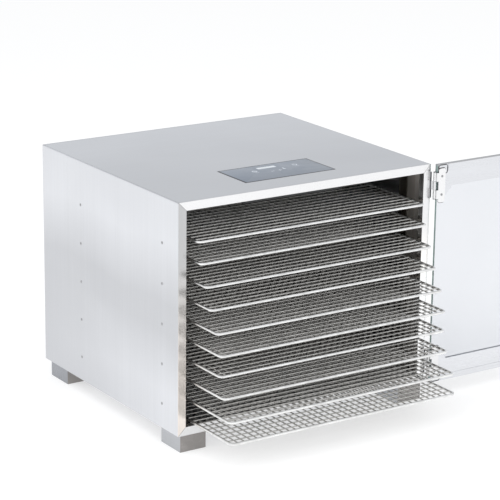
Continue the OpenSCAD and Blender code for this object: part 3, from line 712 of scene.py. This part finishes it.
def mesh_from(build, name):
    """A mesh filled by a function that draws on a bmesh."""
    drawing = bmesh.new()
    build(drawing)
    bmesh.ops.recalc_face_normals(drawing, faces=drawing.faces)
    mesh = bpy.data.meshes.new(name)
    drawing.to_mesh(mesh)
    drawing.free()
    return mesh


def smooth(mesh, angle):
    """Smooth shading, with edges sharper than the angle kept."""
    mesh.shade_smooth()
    mesh.set_sharp_from_angle(angle=math.radians(angle))


def softened(node_name, width, material=None, segments=2):
    """A CAD piece with its sheet edges rounded over by a small width."""
    drawing = bmesh.new()
    drawing.from_mesh(frame["nodes"][node_name].data)
    bmesh.ops.remove_doubles(drawing, verts=drawing.verts, dist=WELD)
    flat = math.radians(0.8)
    bmesh.ops.dissolve_limit(drawing, angle_limit=flat, verts=drawing.verts, edges=drawing.edges)
    mesh = bpy.data.meshes.new(node_name + "_finish")
    drawing.to_mesh(mesh)
    drawing.free()
    piece = add_piece(
        node_name + "_finish",
        mesh,
        material or material_of(node_name),
        BODY_OF[node_name],
        (node_name,),
    )
    bevel = piece.modifiers.new("rounded edges", "BEVEL")
    bevel.width = width
    bevel.segments = segments
    bevel.limit_method = "ANGLE"
    bevel.angle_limit = math.radians(40)
    bevel.use_clamp_overlap = True
    bevel.harden_normals = True
    smooth(mesh, 40.0)
    return piece


def cross_axes(direction):
    """Two axes square to a direction."""
    side = direction.cross(Z if abs(direction.z) < 0.9 else X).normalized()
    return side, direction.cross(side).normalized()


def draw_tube(drawing, points, radius, sides=8, closed=False):
    """A round rod along a path of points, with flat ends or joined into a ring."""
    rings = []
    count = len(points)
    side = None
    for index, point in enumerate(points):
        before = points[(index - 1) % count] if closed or index else point
        after = points[(index + 1) % count] if closed or index < count - 1 else point
        along = (after - before).normalized()
        if side is None:
            side, up = cross_axes(along)
        else:
            side = (side - along * side.dot(along)).normalized()
            up = along.cross(side).normalized()
        ring = []
        for step in range(sides):
            turn = math.tau * step / sides
            ring.append(drawing.verts.new(point + radius * (math.cos(turn) * side + math.sin(turn) * up)))
        rings.append(ring)
    for index in range(count if closed else count - 1):
        first, second = rings[index], rings[(index + 1) % count]
        for step in range(sides):
            following = (step + 1) % sides
            drawing.faces.new((first[step], first[following], second[following], second[step]))
    if not closed:
        drawing.faces.new(list(reversed(rings[0])))
        drawing.faces.new(rings[-1])


def draw_box(drawing, low, high):
    """A box between two corners."""
    corners = []
    for x in (low.x, high.x):
        for y in (low.y, high.y):
            corners += [drawing.verts.new((x, y, z)) for z in (low.z, high.z)]
    for face in ((0, 1, 3, 2), (4, 6, 7, 5), (0, 4, 5, 1), (2, 3, 7, 6), (0, 2, 6, 4), (1, 5, 7, 3)):
        drawing.faces.new([corners[index] for index in face])


def draw_turned(drawing, profile, place, steps=20):
    """A shape turned on a lathe: the profile is radius and height, and place puts it in the frame."""
    rings = []
    for radius, height in profile:
        if radius == 0:
            rings.append([drawing.verts.new(place @ Vector((0, 0, height)))])
            continue
        ring = []
        for k in range(steps):
            turn = math.tau * k / steps
            spot = Vector((radius * math.cos(turn), radius * math.sin(turn), height))
            ring.append(drawing.verts.new(place @ spot))
        rings.append(ring)
    for first, second in zip(rings, rings[1:]):
        for k in range(steps):
            following = (k + 1) % steps
            corners = [first[k % len(first)], first[following % len(first)]]
            corners += [second[following % len(second)], second[k % len(second)]]
            unique = list(dict.fromkeys(corners))
            if len(unique) > 2:
                drawing.faces.new(unique)


def facing(centre, direction):
    """Places something drawn along Z so that it starts at centre and points in a direction."""
    side, up = cross_axes(direction)
    return Matrix.Translation(centre) @ Matrix((side, up, direction)).transposed().to_4x4()


def solids_of(node_name):
    """The lowest and highest corner of each separate solid in a CAD node."""
    drawing = bmesh.new()
    drawing.from_mesh(frame["nodes"][node_name].data)
    bmesh.ops.remove_doubles(drawing, verts=drawing.verts, dist=WELD)
    left = set(drawing.verts)
    found = []
    while left:
        group, waiting = [], [left.pop()]
        while waiting:
            vert = waiting.pop()
            group.append(vert.co.copy())
            for edge in vert.link_edges:
                other = edge.other_vert(vert)
                if other in left:
                    left.remove(other)
                    waiting.append(other)
        low = Vector(tuple(min(co[axis] for co in group) for axis in range(3)))
        high = Vector(tuple(max(co[axis] for co in group) for axis in range(3)))
        found.append((low, high))
    drawing.free()
    return sorted(found, key=lambda corners: tuple(round(value, 5) for value in corners[0]))


# ---------------------------------------------------------------- trays

RIM_R = 1.95 * MM
RIM_INSET = 2 * MM
RIM_CORNER = 6 * MM
CORNER_STEPS = 8
WIRE_R = 1.0 * MM
CROSS_PITCH = 12.5 * MM
CROSS_MARGINS = 8 * MM
CROSS_END = 1.6 * MM
LONG_PITCH = 10.4 * MM
LONG_DROP = 2.3 * WIRE_R


def rim_path(low, high, z):
    """The centre line of a tray's rim, a rectangle with round corners."""
    left, right = low.x + RIM_INSET + RIM_CORNER, high.x - RIM_INSET - RIM_CORNER
    near, far = low.y + RIM_INSET + RIM_CORNER, high.y - RIM_INSET - RIM_CORNER
    path = []
    for x, y, start in ((right, near, -90), (right, far, 0), (left, far, 90), (left, near, 180)):
        for step in range(CORNER_STEPS + 1):
            turn = math.radians(start + 90 * step / CORNER_STEPS)
            path.append(Vector((x + RIM_CORNER * math.cos(turn), y + RIM_CORNER * math.sin(turn), z)))
    return path


def make_tray(node_name):
    """Rim rod, with cross wires level with its top and long wires under them."""
    low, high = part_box(node_name)
    middle = (low + high) / 2
    rim_top = middle.z + RIM_R
    depth = high.y - low.y
    cross_count = round((depth - CROSS_MARGINS) / CROSS_PITCH) - 1
    half = (high.x - low.x) / 2 - CROSS_END
    long_count = 2 * math.floor((half - RIM_CORNER) / LONG_PITCH) + 1

    def draw(drawing):
        draw_tube(drawing, rim_path(low, high, middle.z), RIM_R, sides=12, closed=True)
        rim_faces = set(drawing.faces)
        for k in range(1, cross_count + 1):
            y = low.y + k * depth / (cross_count + 1)
            z = rim_top - WIRE_R
            draw_tube(drawing, [Vector((-half, y, z)), Vector((half, y, z))], WIRE_R)
        for k in range(long_count):
            x = middle.x + (k - (long_count - 1) / 2) * LONG_PITCH
            z = rim_top - LONG_DROP
            ends = [Vector((x, low.y + RIM_INSET, z)), Vector((x, high.y - RIM_INSET, z))]
            draw_tube(drawing, ends, WIRE_R)
        for face in drawing.faces:
            face.material_index = 0 if face in rim_faces else 1

    mesh = mesh_from(draw, node_name + "_wires")
    # the rim takes the lighter copy of the plated wire as painted highlight, the mesh the darker copy as
    # painted shade
    mesh.materials.append(LIT_TRAY_RIM)
    mesh.materials.append(SHADED_MESH_WIRE)
    smooth(mesh, 50.0)
    add_piece(node_name + "_wires", mesh, LIT_TRAY_RIM, BODY_OF[node_name], (node_name,))


# ---------------------------------------------------------------- fasteners


def cross_head(radius, height):
    """The mesh of one domed screw head with a cross recess, standing on Z = 0."""
    dome = [
        (0, height),
        (radius * 0.45, height * 0.97),
        (radius * 0.8, height * 0.72),
        (radius, height * 0.28),
        (radius, 0),
        (0, 0),
    ]
    head = mesh_from(lambda drawing: draw_turned(drawing, dome, Matrix.Identity(4), 24), "head")

    def draw_recess(drawing):
        arm, wide = radius * 0.55, radius * 0.13
        draw_box(drawing, Vector((-arm, -wide, height * 0.35)), Vector((arm, wide, height * 2)))

    bodies = [bpy.data.objects.new("head", head)]
    for turn in (0, 90):
        mesh = mesh_from(draw_recess, "recess")
        mesh.transform(Matrix.Rotation(math.radians(turn), 4, "Z"))
        bodies.append(bpy.data.objects.new("recess", mesh))
    for made in bodies:
        bpy.context.scene.collection.objects.link(made)
    for cutter in bodies[1:]:
        cut = bodies[0].modifiers.new("cross", "BOOLEAN")
        cut.operation = "DIFFERENCE"
        cut.solver = "EXACT"
        cut.object = cutter
    bpy.context.view_layer.update()
    cut_head = bodies[0].evaluated_get(bpy.context.evaluated_depsgraph_get())
    finished = bpy.data.meshes.new_from_object(cut_head)
    for made in bodies:
        bpy.data.objects.remove(made)
    return finished


def rivet_profile(radius, height):
    """A pop rivet's head: a low dome with the pit its stem leaves."""
    return [
        (0, height * 0.15),
        (radius * 0.3, height * 0.15),
        (radius * 0.34, height * 0.85),
        (radius * 0.55, height),
        (radius * 0.85, height * 0.6),
        (radius, height * 0.1),
        (radius, 0),
        (0, 0),
    ]


def make_fasteners(node_name, draw, name):
    """Screws or rivets that stand for a whole CAD node."""
    mesh = mesh_from(draw, name)
    smooth(mesh, 40.0)
    add_piece(name, mesh, FASTENER_STEEL, BODY_OF[node_name], (node_name,))


def make_screws(node_name, direction, radius, height, name):
    """Cross-head screws where a CAD node has them: head and shank, one for each solid."""
    head = cross_head(radius, height)
    shank_r = radius * 0.52

    def draw(drawing):
        for low, high in solids_of(node_name):
            middle = (low + high) / 2
            reach = Vector((abs(direction.x), abs(direction.y), abs(direction.z))).dot(high - low)
            seat = middle + direction * (reach / 2 - height)
            copy = head.copy()
            copy.transform(facing(seat, direction))
            drawing.from_mesh(copy)
            bpy.data.meshes.remove(copy)
            tip = middle - direction * (reach / 2)
            draw_tube(drawing, [tip, seat + direction * height * 0.1], shank_r, sides=12)

    make_fasteners(node_name, draw, name)


RIVET_COLLAR = 1.2 * MM


def make_rivets(node_name, radius, height, name):
    """Pop rivets along X: a head outside, a collar inside and the shank between."""

    def draw(drawing):
        for low, high in solids_of(node_name):
            middle = (low + high) / 2
            out = X if middle.x > 0 else -X
            far = (high.x - low.x) / 2
            seat = middle + out * (far - height)
            draw_turned(drawing, rivet_profile(radius, height), facing(seat, out))
            draw_tube(drawing, [middle - out * far, seat + out * height * 0.1], radius * 0.7, sides=14)
            collar_end = middle - out * (far - RIVET_COLLAR)
            draw_tube(drawing, [middle - out * far, collar_end], radius, sides=14)

    make_fasteners(node_name, draw, name)


# ---------------------------------------------------------------- fan and its guard

GUARD_WIRE_R = 0.8 * MM
SPOKE_PAST_RING = 2.5 * MM


def make_fan_guard():
    """Round wire rings and spokes in front of the fan."""
    low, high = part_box("fan_guard")
    middle = (low + high) / 2
    outer = (high.z - low.z) / 2 - GUARD_WIRE_R

    def around(share):
        """A direction in the guard's plane, at a share of a full turn."""
        return Vector((math.cos(math.tau * share), 0, math.sin(math.tau * share)))

    def draw(drawing):
        for size in (0.25, 0.5, 0.75, 1.0):
            ring = [middle + around(k / 48) * outer * size for k in range(48)]
            draw_tube(drawing, ring, GUARD_WIRE_R, sides=8, closed=True)
        for k in range(6):
            ends = [middle + around(k / 6) * reach for reach in (outer * 0.25, outer + SPOKE_PAST_RING)]
            draw_tube(drawing, ends, GUARD_WIRE_R, sides=8)

    mesh = mesh_from(draw, "fan_guard_wires")
    smooth(mesh, 50.0)
    add_piece("fan_guard_wires", mesh, GUARD_WIRE, "cabinet", ("fan_guard",))


BLADES = 5
BLADE_ROWS = 8
HUB_R = 12 * MM
HUB_HALF = 6 * MM
HUB_BORE = 3.05 * MM
BLADE_ROOT = 9 * MM
BLADE_GAP = 1 * MM
BLADE_HALF_SHEET = 0.5 * MM
CAMBER = 2.2 * MM


def make_fan_blade():
    """Five pressed and cambered blades on a turned hub."""
    low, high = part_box("fan_blade")
    shaft_low, shaft_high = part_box("fan_shaft")
    centre = (shaft_low + shaft_high) / 2
    centre.y = (low.y + high.y) / 2
    tip = min(high.z - centre.z, high.x - centre.x) - BLADE_GAP
    hub = [
        (HUB_BORE, -HUB_HALF),
        (10 * MM, -HUB_HALF),
        (HUB_R, -4.5 * MM),
        (HUB_R, 4.5 * MM),
        (10.5 * MM, HUB_HALF),
        (HUB_BORE, HUB_HALF),
        (HUB_BORE, -HUB_HALF),
    ]

    def blade_point(along, across, lift):
        """A point on a blade: along runs root to tip, across runs from edge to edge."""
        radius = BLADE_ROOT + (tip - BLADE_ROOT) * along
        tapered = 1 - 0.25 * max(0.0, along - 0.85) / 0.15
        side = (15 + 10 * along) * MM * tapered * across
        camber = CAMBER * (1 - across * across)
        pitch = math.radians(30 - 8 * along)
        sideways = side * math.cos(pitch)
        reach = math.sqrt(max(0.0, radius * radius - sideways**2))
        return Vector((sideways, side * math.sin(pitch) + camber + lift, reach))

    def draw_sheet(drawing, turn, lift):
        """One side of a blade; gives its rows of corners from root to tip."""
        rows = []
        for i in range(BLADE_ROWS + 1):
            spots = [blade_point(i / BLADE_ROWS, 2 * j / BLADE_ROWS - 1, lift) for j in range(BLADE_ROWS + 1)]
            rows.append([drawing.verts.new(turn @ spot) for spot in spots])
        return rows

    def draw(drawing):
        draw_turned(drawing, hub, facing(centre, Y), 40)
        for k in range(BLADES):
            turn = Matrix.Translation(centre) @ Matrix.Rotation(math.tau * k / BLADES, 4, "Y")
            lower, upper = (draw_sheet(drawing, turn, lift) for lift in (-BLADE_HALF_SHEET, BLADE_HALF_SHEET))
            for rows in (lower, upper):
                for near, far in zip(rows, rows[1:]):
                    for j in range(BLADE_ROWS):
                        drawing.faces.new((near[j], far[j], far[j + 1], near[j + 1]))
            for i in range(BLADE_ROWS):
                for end in (0, BLADE_ROWS):
                    drawing.faces.new((lower[i][end], lower[i + 1][end], upper[i + 1][end], upper[i][end]))
                    drawing.faces.new((lower[end][i], lower[end][i + 1], upper[end][i + 1], upper[end][i]))

    mesh = mesh_from(draw, "fan_blade_pressed")
    smooth(mesh, 40.0)
    add_piece("fan_blade_pressed", mesh, FAN_ALUMINIUM, "fan_rotor", ("fan_blade",))


# ---------------------------------------------------------------- controls


def flat_ring(drawing, centre, inner, outer, z0, z1, start=0.0, end=360.0, steps=28):
    """A flat ring or arc, raised from z0 to z1."""
    closed = end - start == 360.0
    count = steps if closed else steps + 1
    section = ((inner, z0), (outer, z0), (outer, z1), (inner, z1))
    columns = []
    for k in range(count):
        turn = math.radians(start + (end - start) * k / steps)
        out = Vector((math.cos(turn), math.sin(turn), 0))
        columns.append([drawing.verts.new(centre + out * radius + Z * z) for radius, z in section])
    for k in range(steps):
        a, b = columns[k], columns[(k + 1) % count]
        for j in range(4):
            drawing.faces.new((a[j], a[(j + 1) % 4], b[(j + 1) % 4], b[j]))
    if not closed:
        drawing.faces.new(columns[0])
        drawing.faces.new(list(reversed(columns[-1])))


# Where the marks stand, in millimetres from the panel's middle.
POWER_MARK = (40, 14.5)
CLOCK_MARK = (-31, 9.5)
HEAT_MARK = (15, 5)
MINUS_MARK = (-7, -1)
PLUS_MARK = (5, -1)
UNDERLINES = ((-31, 2), (40, 7))
MARK_R = 3.4 * MM
MARK_LINE = 0.6 * MM
BULB_RADII = (0.5 * MM, 1.7 * MM)
PRINT_SINK = 0.05 * MM
PRINT_RISE = 0.04 * MM


def make_panel_marks():
    """Printed marks on the touch film: power ring, clock, thermometer, minus and plus."""
    low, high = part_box("control_panel")
    middle = (low + high) / 2
    z0, z1 = high.z - PRINT_SINK, high.z + PRINT_RISE
    r, line = MARK_R, MARK_LINE

    def at(place):
        return Vector((middle.x + place[0] * MM, middle.y + place[1] * MM, 0))

    def bar(drawing, centre, half_x, half_y):
        reach = Vector((half_x, half_y, 0))
        draw_box(drawing, centre - reach + Z * z0, centre + reach + Z * z1)

    def draw(drawing):
        power, clock, heat = at(POWER_MARK), at(CLOCK_MARK), at(HEAT_MARK)
        flat_ring(drawing, power, r - line, r + line, z0, z1, start=125, end=415)
        bar(drawing, power + Y * r * 0.75, line, r * 0.5)
        flat_ring(drawing, clock, r - line, r + line, z0, z1)
        bar(drawing, clock + Y * r * 0.3, line, r * 0.4)
        bar(drawing, clock + X * r * 0.3, r * 0.35, line)
        flat_ring(drawing, heat - Y * r * 0.7, *BULB_RADII, z0, z1)
        bar(drawing, heat + Y * r * 0.4, line * 1.6, r * 0.6)
        for place in (MINUS_MARK, PLUS_MARK):
            bar(drawing, at(place), r * 0.75, line)
        bar(drawing, at(PLUS_MARK), line, r * 0.75)
        for place in UNDERLINES:
            bar(drawing, at(place), r * 0.9, line * 0.6)

    mesh = mesh_from(draw, "panel_marks")
    add_piece("panel_marks", mesh, PRINT_INK, "cabinet")


FIGURES = 4
FIGURE_PITCH = 5.6 * MM
SEGMENT_SINK = 0.05 * MM
SEGMENT_RISE = 0.03 * MM
SEGMENT_FILL = 0.85


def make_display_segments():
    """The unlit segments of a four-figure display, on its window."""
    low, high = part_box("display_window")
    middle = (low + high) / 2
    z0, z1 = high.z - SEGMENT_SINK, high.z + SEGMENT_RISE
    wide, tall, line = 1.4 * MM, 2.6 * MM, 0.3 * MM
    level_bars = [(0, y, wide, line) for y in (tall, 0, -tall)]
    upright_bars = [(x, y, line, tall / 2) for x in (-wide, wide) for y in (-tall / 2, tall / 2)]

    def draw(drawing):
        for figure in range(FIGURES):
            figure_x = middle.x + (figure - (FIGURES - 1) / 2) * FIGURE_PITCH
            for x, y, half_x, half_y in level_bars + upright_bars:
                centre = Vector((figure_x + x, middle.y + y, 0))
                reach = Vector((half_x, half_y, 0)) * SEGMENT_FILL
                draw_box(drawing, centre - reach + Z * z0, centre + reach + Z * z1)

    mesh = mesh_from(draw, "display_segments")
    add_piece("display_segments", mesh, SEGMENT_INK, "cabinet")


# ---------------------------------------------------------------- door

PANE_EDGE_R = 0.35 * MM


def make_pane():
    """The glass, with its green ground edge as a second finish."""
    mesh = softened("door_glass", PANE_EDGE_R).data
    mesh.materials.append(PANE_EDGE)
    for face in mesh.polygons:
        if abs(face.normal.y) < 0.5:
            face.material_index = 1


HANDLE_ROD_R = 4 * MM
HANDLE_BEND = 9 * MM
HANDLE_STANDOFF = 1 * MM
BEND_STEPS = 8
COLLAR_R = 7 * MM
COLLAR_HEIGHT = 1.7 * MM


def make_handle():
    """A round bow with bent corners and a collar where it meets the glass."""
    low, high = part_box("door_handle")
    x = (low.x + high.x) / 2
    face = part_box("door_glass")[1].y
    foot_y = face + HANDLE_STANDOFF
    grip_y = high.y - HANDLE_ROD_R
    bottom, top = low.z + COLLAR_R, high.z - COLLAR_R
    path = [Vector((x, foot_y, bottom))]
    for step in range(BEND_STEPS + 1):
        turn = math.radians(90 * step / BEND_STEPS)
        y = grip_y - HANDLE_BEND * (1 - math.sin(turn))
        path.append(Vector((x, y, bottom + HANDLE_BEND * (1 - math.cos(turn)))))
    for step in range(BEND_STEPS + 1):
        turn = math.radians(90 * step / BEND_STEPS)
        y = grip_y - HANDLE_BEND * (1 - math.cos(turn))
        path.append(Vector((x, y, top - HANDLE_BEND * (1 - math.sin(turn)))))
    path.append(Vector((x, foot_y, top)))
    flange = [
        (0, 0),
        (COLLAR_R, 0),
        (COLLAR_R, 1.0 * MM),
        (COLLAR_R - 0.6 * MM, 1.6 * MM),
        (HANDLE_ROD_R, COLLAR_HEIGHT),
        (0, COLLAR_HEIGHT),
    ]

    def draw(drawing):
        draw_tube(drawing, path, HANDLE_ROD_R, sides=20)
        for z in (bottom, top):
            draw_turned(drawing, flange, facing(Vector((x, face, z)), Y), 32)

    mesh = mesh_from(draw, "door_handle_bow")
    smooth(mesh, 45.0)
    add_piece("door_handle_bow", mesh, HANDLE_STEEL, "door", ("door_handle",))


# ---------------------------------------------------------------- feet

FOOT_EDGE_R = 0.5 * MM


def make_foot(node_name):
    """A folded foot; its two ends are painted darker than its outer side, as painted shade with painted
    reflections.
    """
    sheet = SHADED_REAR_FOOT_STEEL if "rear" in node_name else FOOT_STEEL
    piece = softened(node_name, FOOT_EDGE_R, sheet, segments=3)
    piece.data.materials.append(SHADED_FOOT_END)
    for face in piece.data.polygons:
        if abs(face.normal.y) > 0.7:
            face.material_index = 1


# ---------------------------------------------------------------- studio

VIEW_AZIMUTH = 33.463
VIEW_DOWN = 16.382
VIEW_ROLL = 0.743
EYE = Vector((-1.6302, -2.5112, 1.0903))
LENS = 153.81
SENSOR = 36.0
FLOOR_HALF = 20.0
FLOOR_DROP = 0.05 * MM


def make_camera():
    """The camera, a little above the object and to its left."""
    azimuth, down, roll = (math.radians(value) for value in (VIEW_AZIMUTH, VIEW_DOWN, VIEW_ROLL))
    ahead = Vector(
        (
            math.sin(azimuth) * math.cos(down),
            math.cos(azimuth) * math.cos(down),
            -math.sin(down),
        )
    )
    right = ahead.cross(Z).normalized()
    up = right.cross(ahead)
    turned_right = right * math.cos(roll) + up * math.sin(roll)
    turned_up = up * math.cos(roll) - right * math.sin(roll)
    data = bpy.data.cameras.new("studio_camera")
    data.lens = LENS
    data.sensor_width = SENSOR
    data.clip_end = 60.0
    camera = bpy.data.objects.new("studio_camera", data)
    turn = Matrix((turned_right, turned_up, -ahead)).transposed().to_4x4()
    camera.matrix_world = Matrix.Translation(EYE) @ turn
    bpy.context.scene.collection.objects.link(camera)
    bpy.context.scene.camera = camera


def make_floor():
    """A wide pale floor just under the feet."""
    near, far = -FLOOR_HALF, FLOOR_HALF
    corners = [(x, y, -FLOOR_DROP) for x, y in ((near, near), (far, near), (far, far), (near, far))]
    mesh = bpy.data.meshes.new("studio_floor")
    mesh.from_pydata(corners, [], [(0, 1, 2, 3)])
    mesh.materials.append(plain_floor("studio floor", grey(0.55)))
    floor = bpy.data.objects.new("studio_floor", mesh)
    bpy.context.scene.collection.objects.link(floor)


def area_light(name, place, target, size, power):
    """A square soft box that shows in no reflection."""
    data = bpy.data.lights.new(name, "AREA")
    data.shape = "SQUARE"
    data.size = size
    data.energy = power
    light = bpy.data.objects.new(name, data)
    light.visible_glossy = False
    light.location = place
    light.rotation_mode = "QUATERNION"
    light.rotation_quaternion = (Vector(target) - Vector(place)).to_track_quat("-Z", "Y")
    bpy.context.scene.collection.objects.link(light)


def make_lights():
    """An even pale surround and two soft boxes, one in front and one to the left."""
    world = bpy.data.worlds.new("studio")
    world.use_nodes = True
    sky = world.node_tree.nodes["Background"]
    sky.inputs["Color"].default_value = (0.975, 0.985, 1.0, 1.0)
    sky.inputs["Strength"].default_value = 0.84
    bpy.context.scene.world = world
    area_light("front_soft_box", place=(0.9, -2.0, 1.5), target=(0, 0, 0.2), size=2.6, power=21.0)
    area_light("left_soft_box", place=(-1.3, -0.5, 1.8), target=(0, -0.1, 0.1), size=2.2, power=22.0)
    bpy.context.scene.view_settings.view_transform = "Standard"


# ---------------------------------------------------------------- making

make_camera()
make_floor()
make_lights()
dress_cad_nodes()

SHEET_EDGE_R = 0.4 * MM
SMALL_EDGE_R = 0.25 * MM
SHEETS = ("top_panel", "side_panel_left", "side_panel_right", "front_frame", "back_panel", "base_panel")
FEET = ("foot_front_left", "foot_front_right", "foot_rear_left", "foot_rear_right")
SMALL_PIECES = (
    "rack_posts",
    "tray_runners",
    "control_panel",
    "power_inlet",
    "hinge_leaf_top",
    "hinge_leaf_bottom",
    "hinge_clip_top",
    "hinge_clip_bottom",
    "door_band_top",
    "door_band_bottom",
    "door_magnets",
    "hinge_pins",
    "hinge_pads",
    "motor_bracket",
    "control_housing",
)

for sheet_name in SHEETS:
    softened(sheet_name, SHEET_EDGE_R)
for foot_name in FEET:
    make_foot(foot_name)
for piece_name in SMALL_PIECES:
    softened(piece_name, SMALL_EDGE_R)
for tray_name in TRAYS:
    make_tray(tray_name)
make_rivets("rack_rivets", 2.2 * MM, 0.5 * MM, "rack_rivet_heads")
make_rivets("hinge_rivets", 2.6 * MM, 0.8 * MM, "hinge_rivet_heads")
make_screws("clip_screws", -Y, 1.8 * MM, 0.9 * MM, "clip_screw_heads")
make_screws("rear_screws", Y, 2.8 * MM, 1.45 * MM, "rear_screw_heads")
make_fan_guard()
make_fan_blade()
make_panel_marks()
make_display_segments()
make_pane()
make_handle()
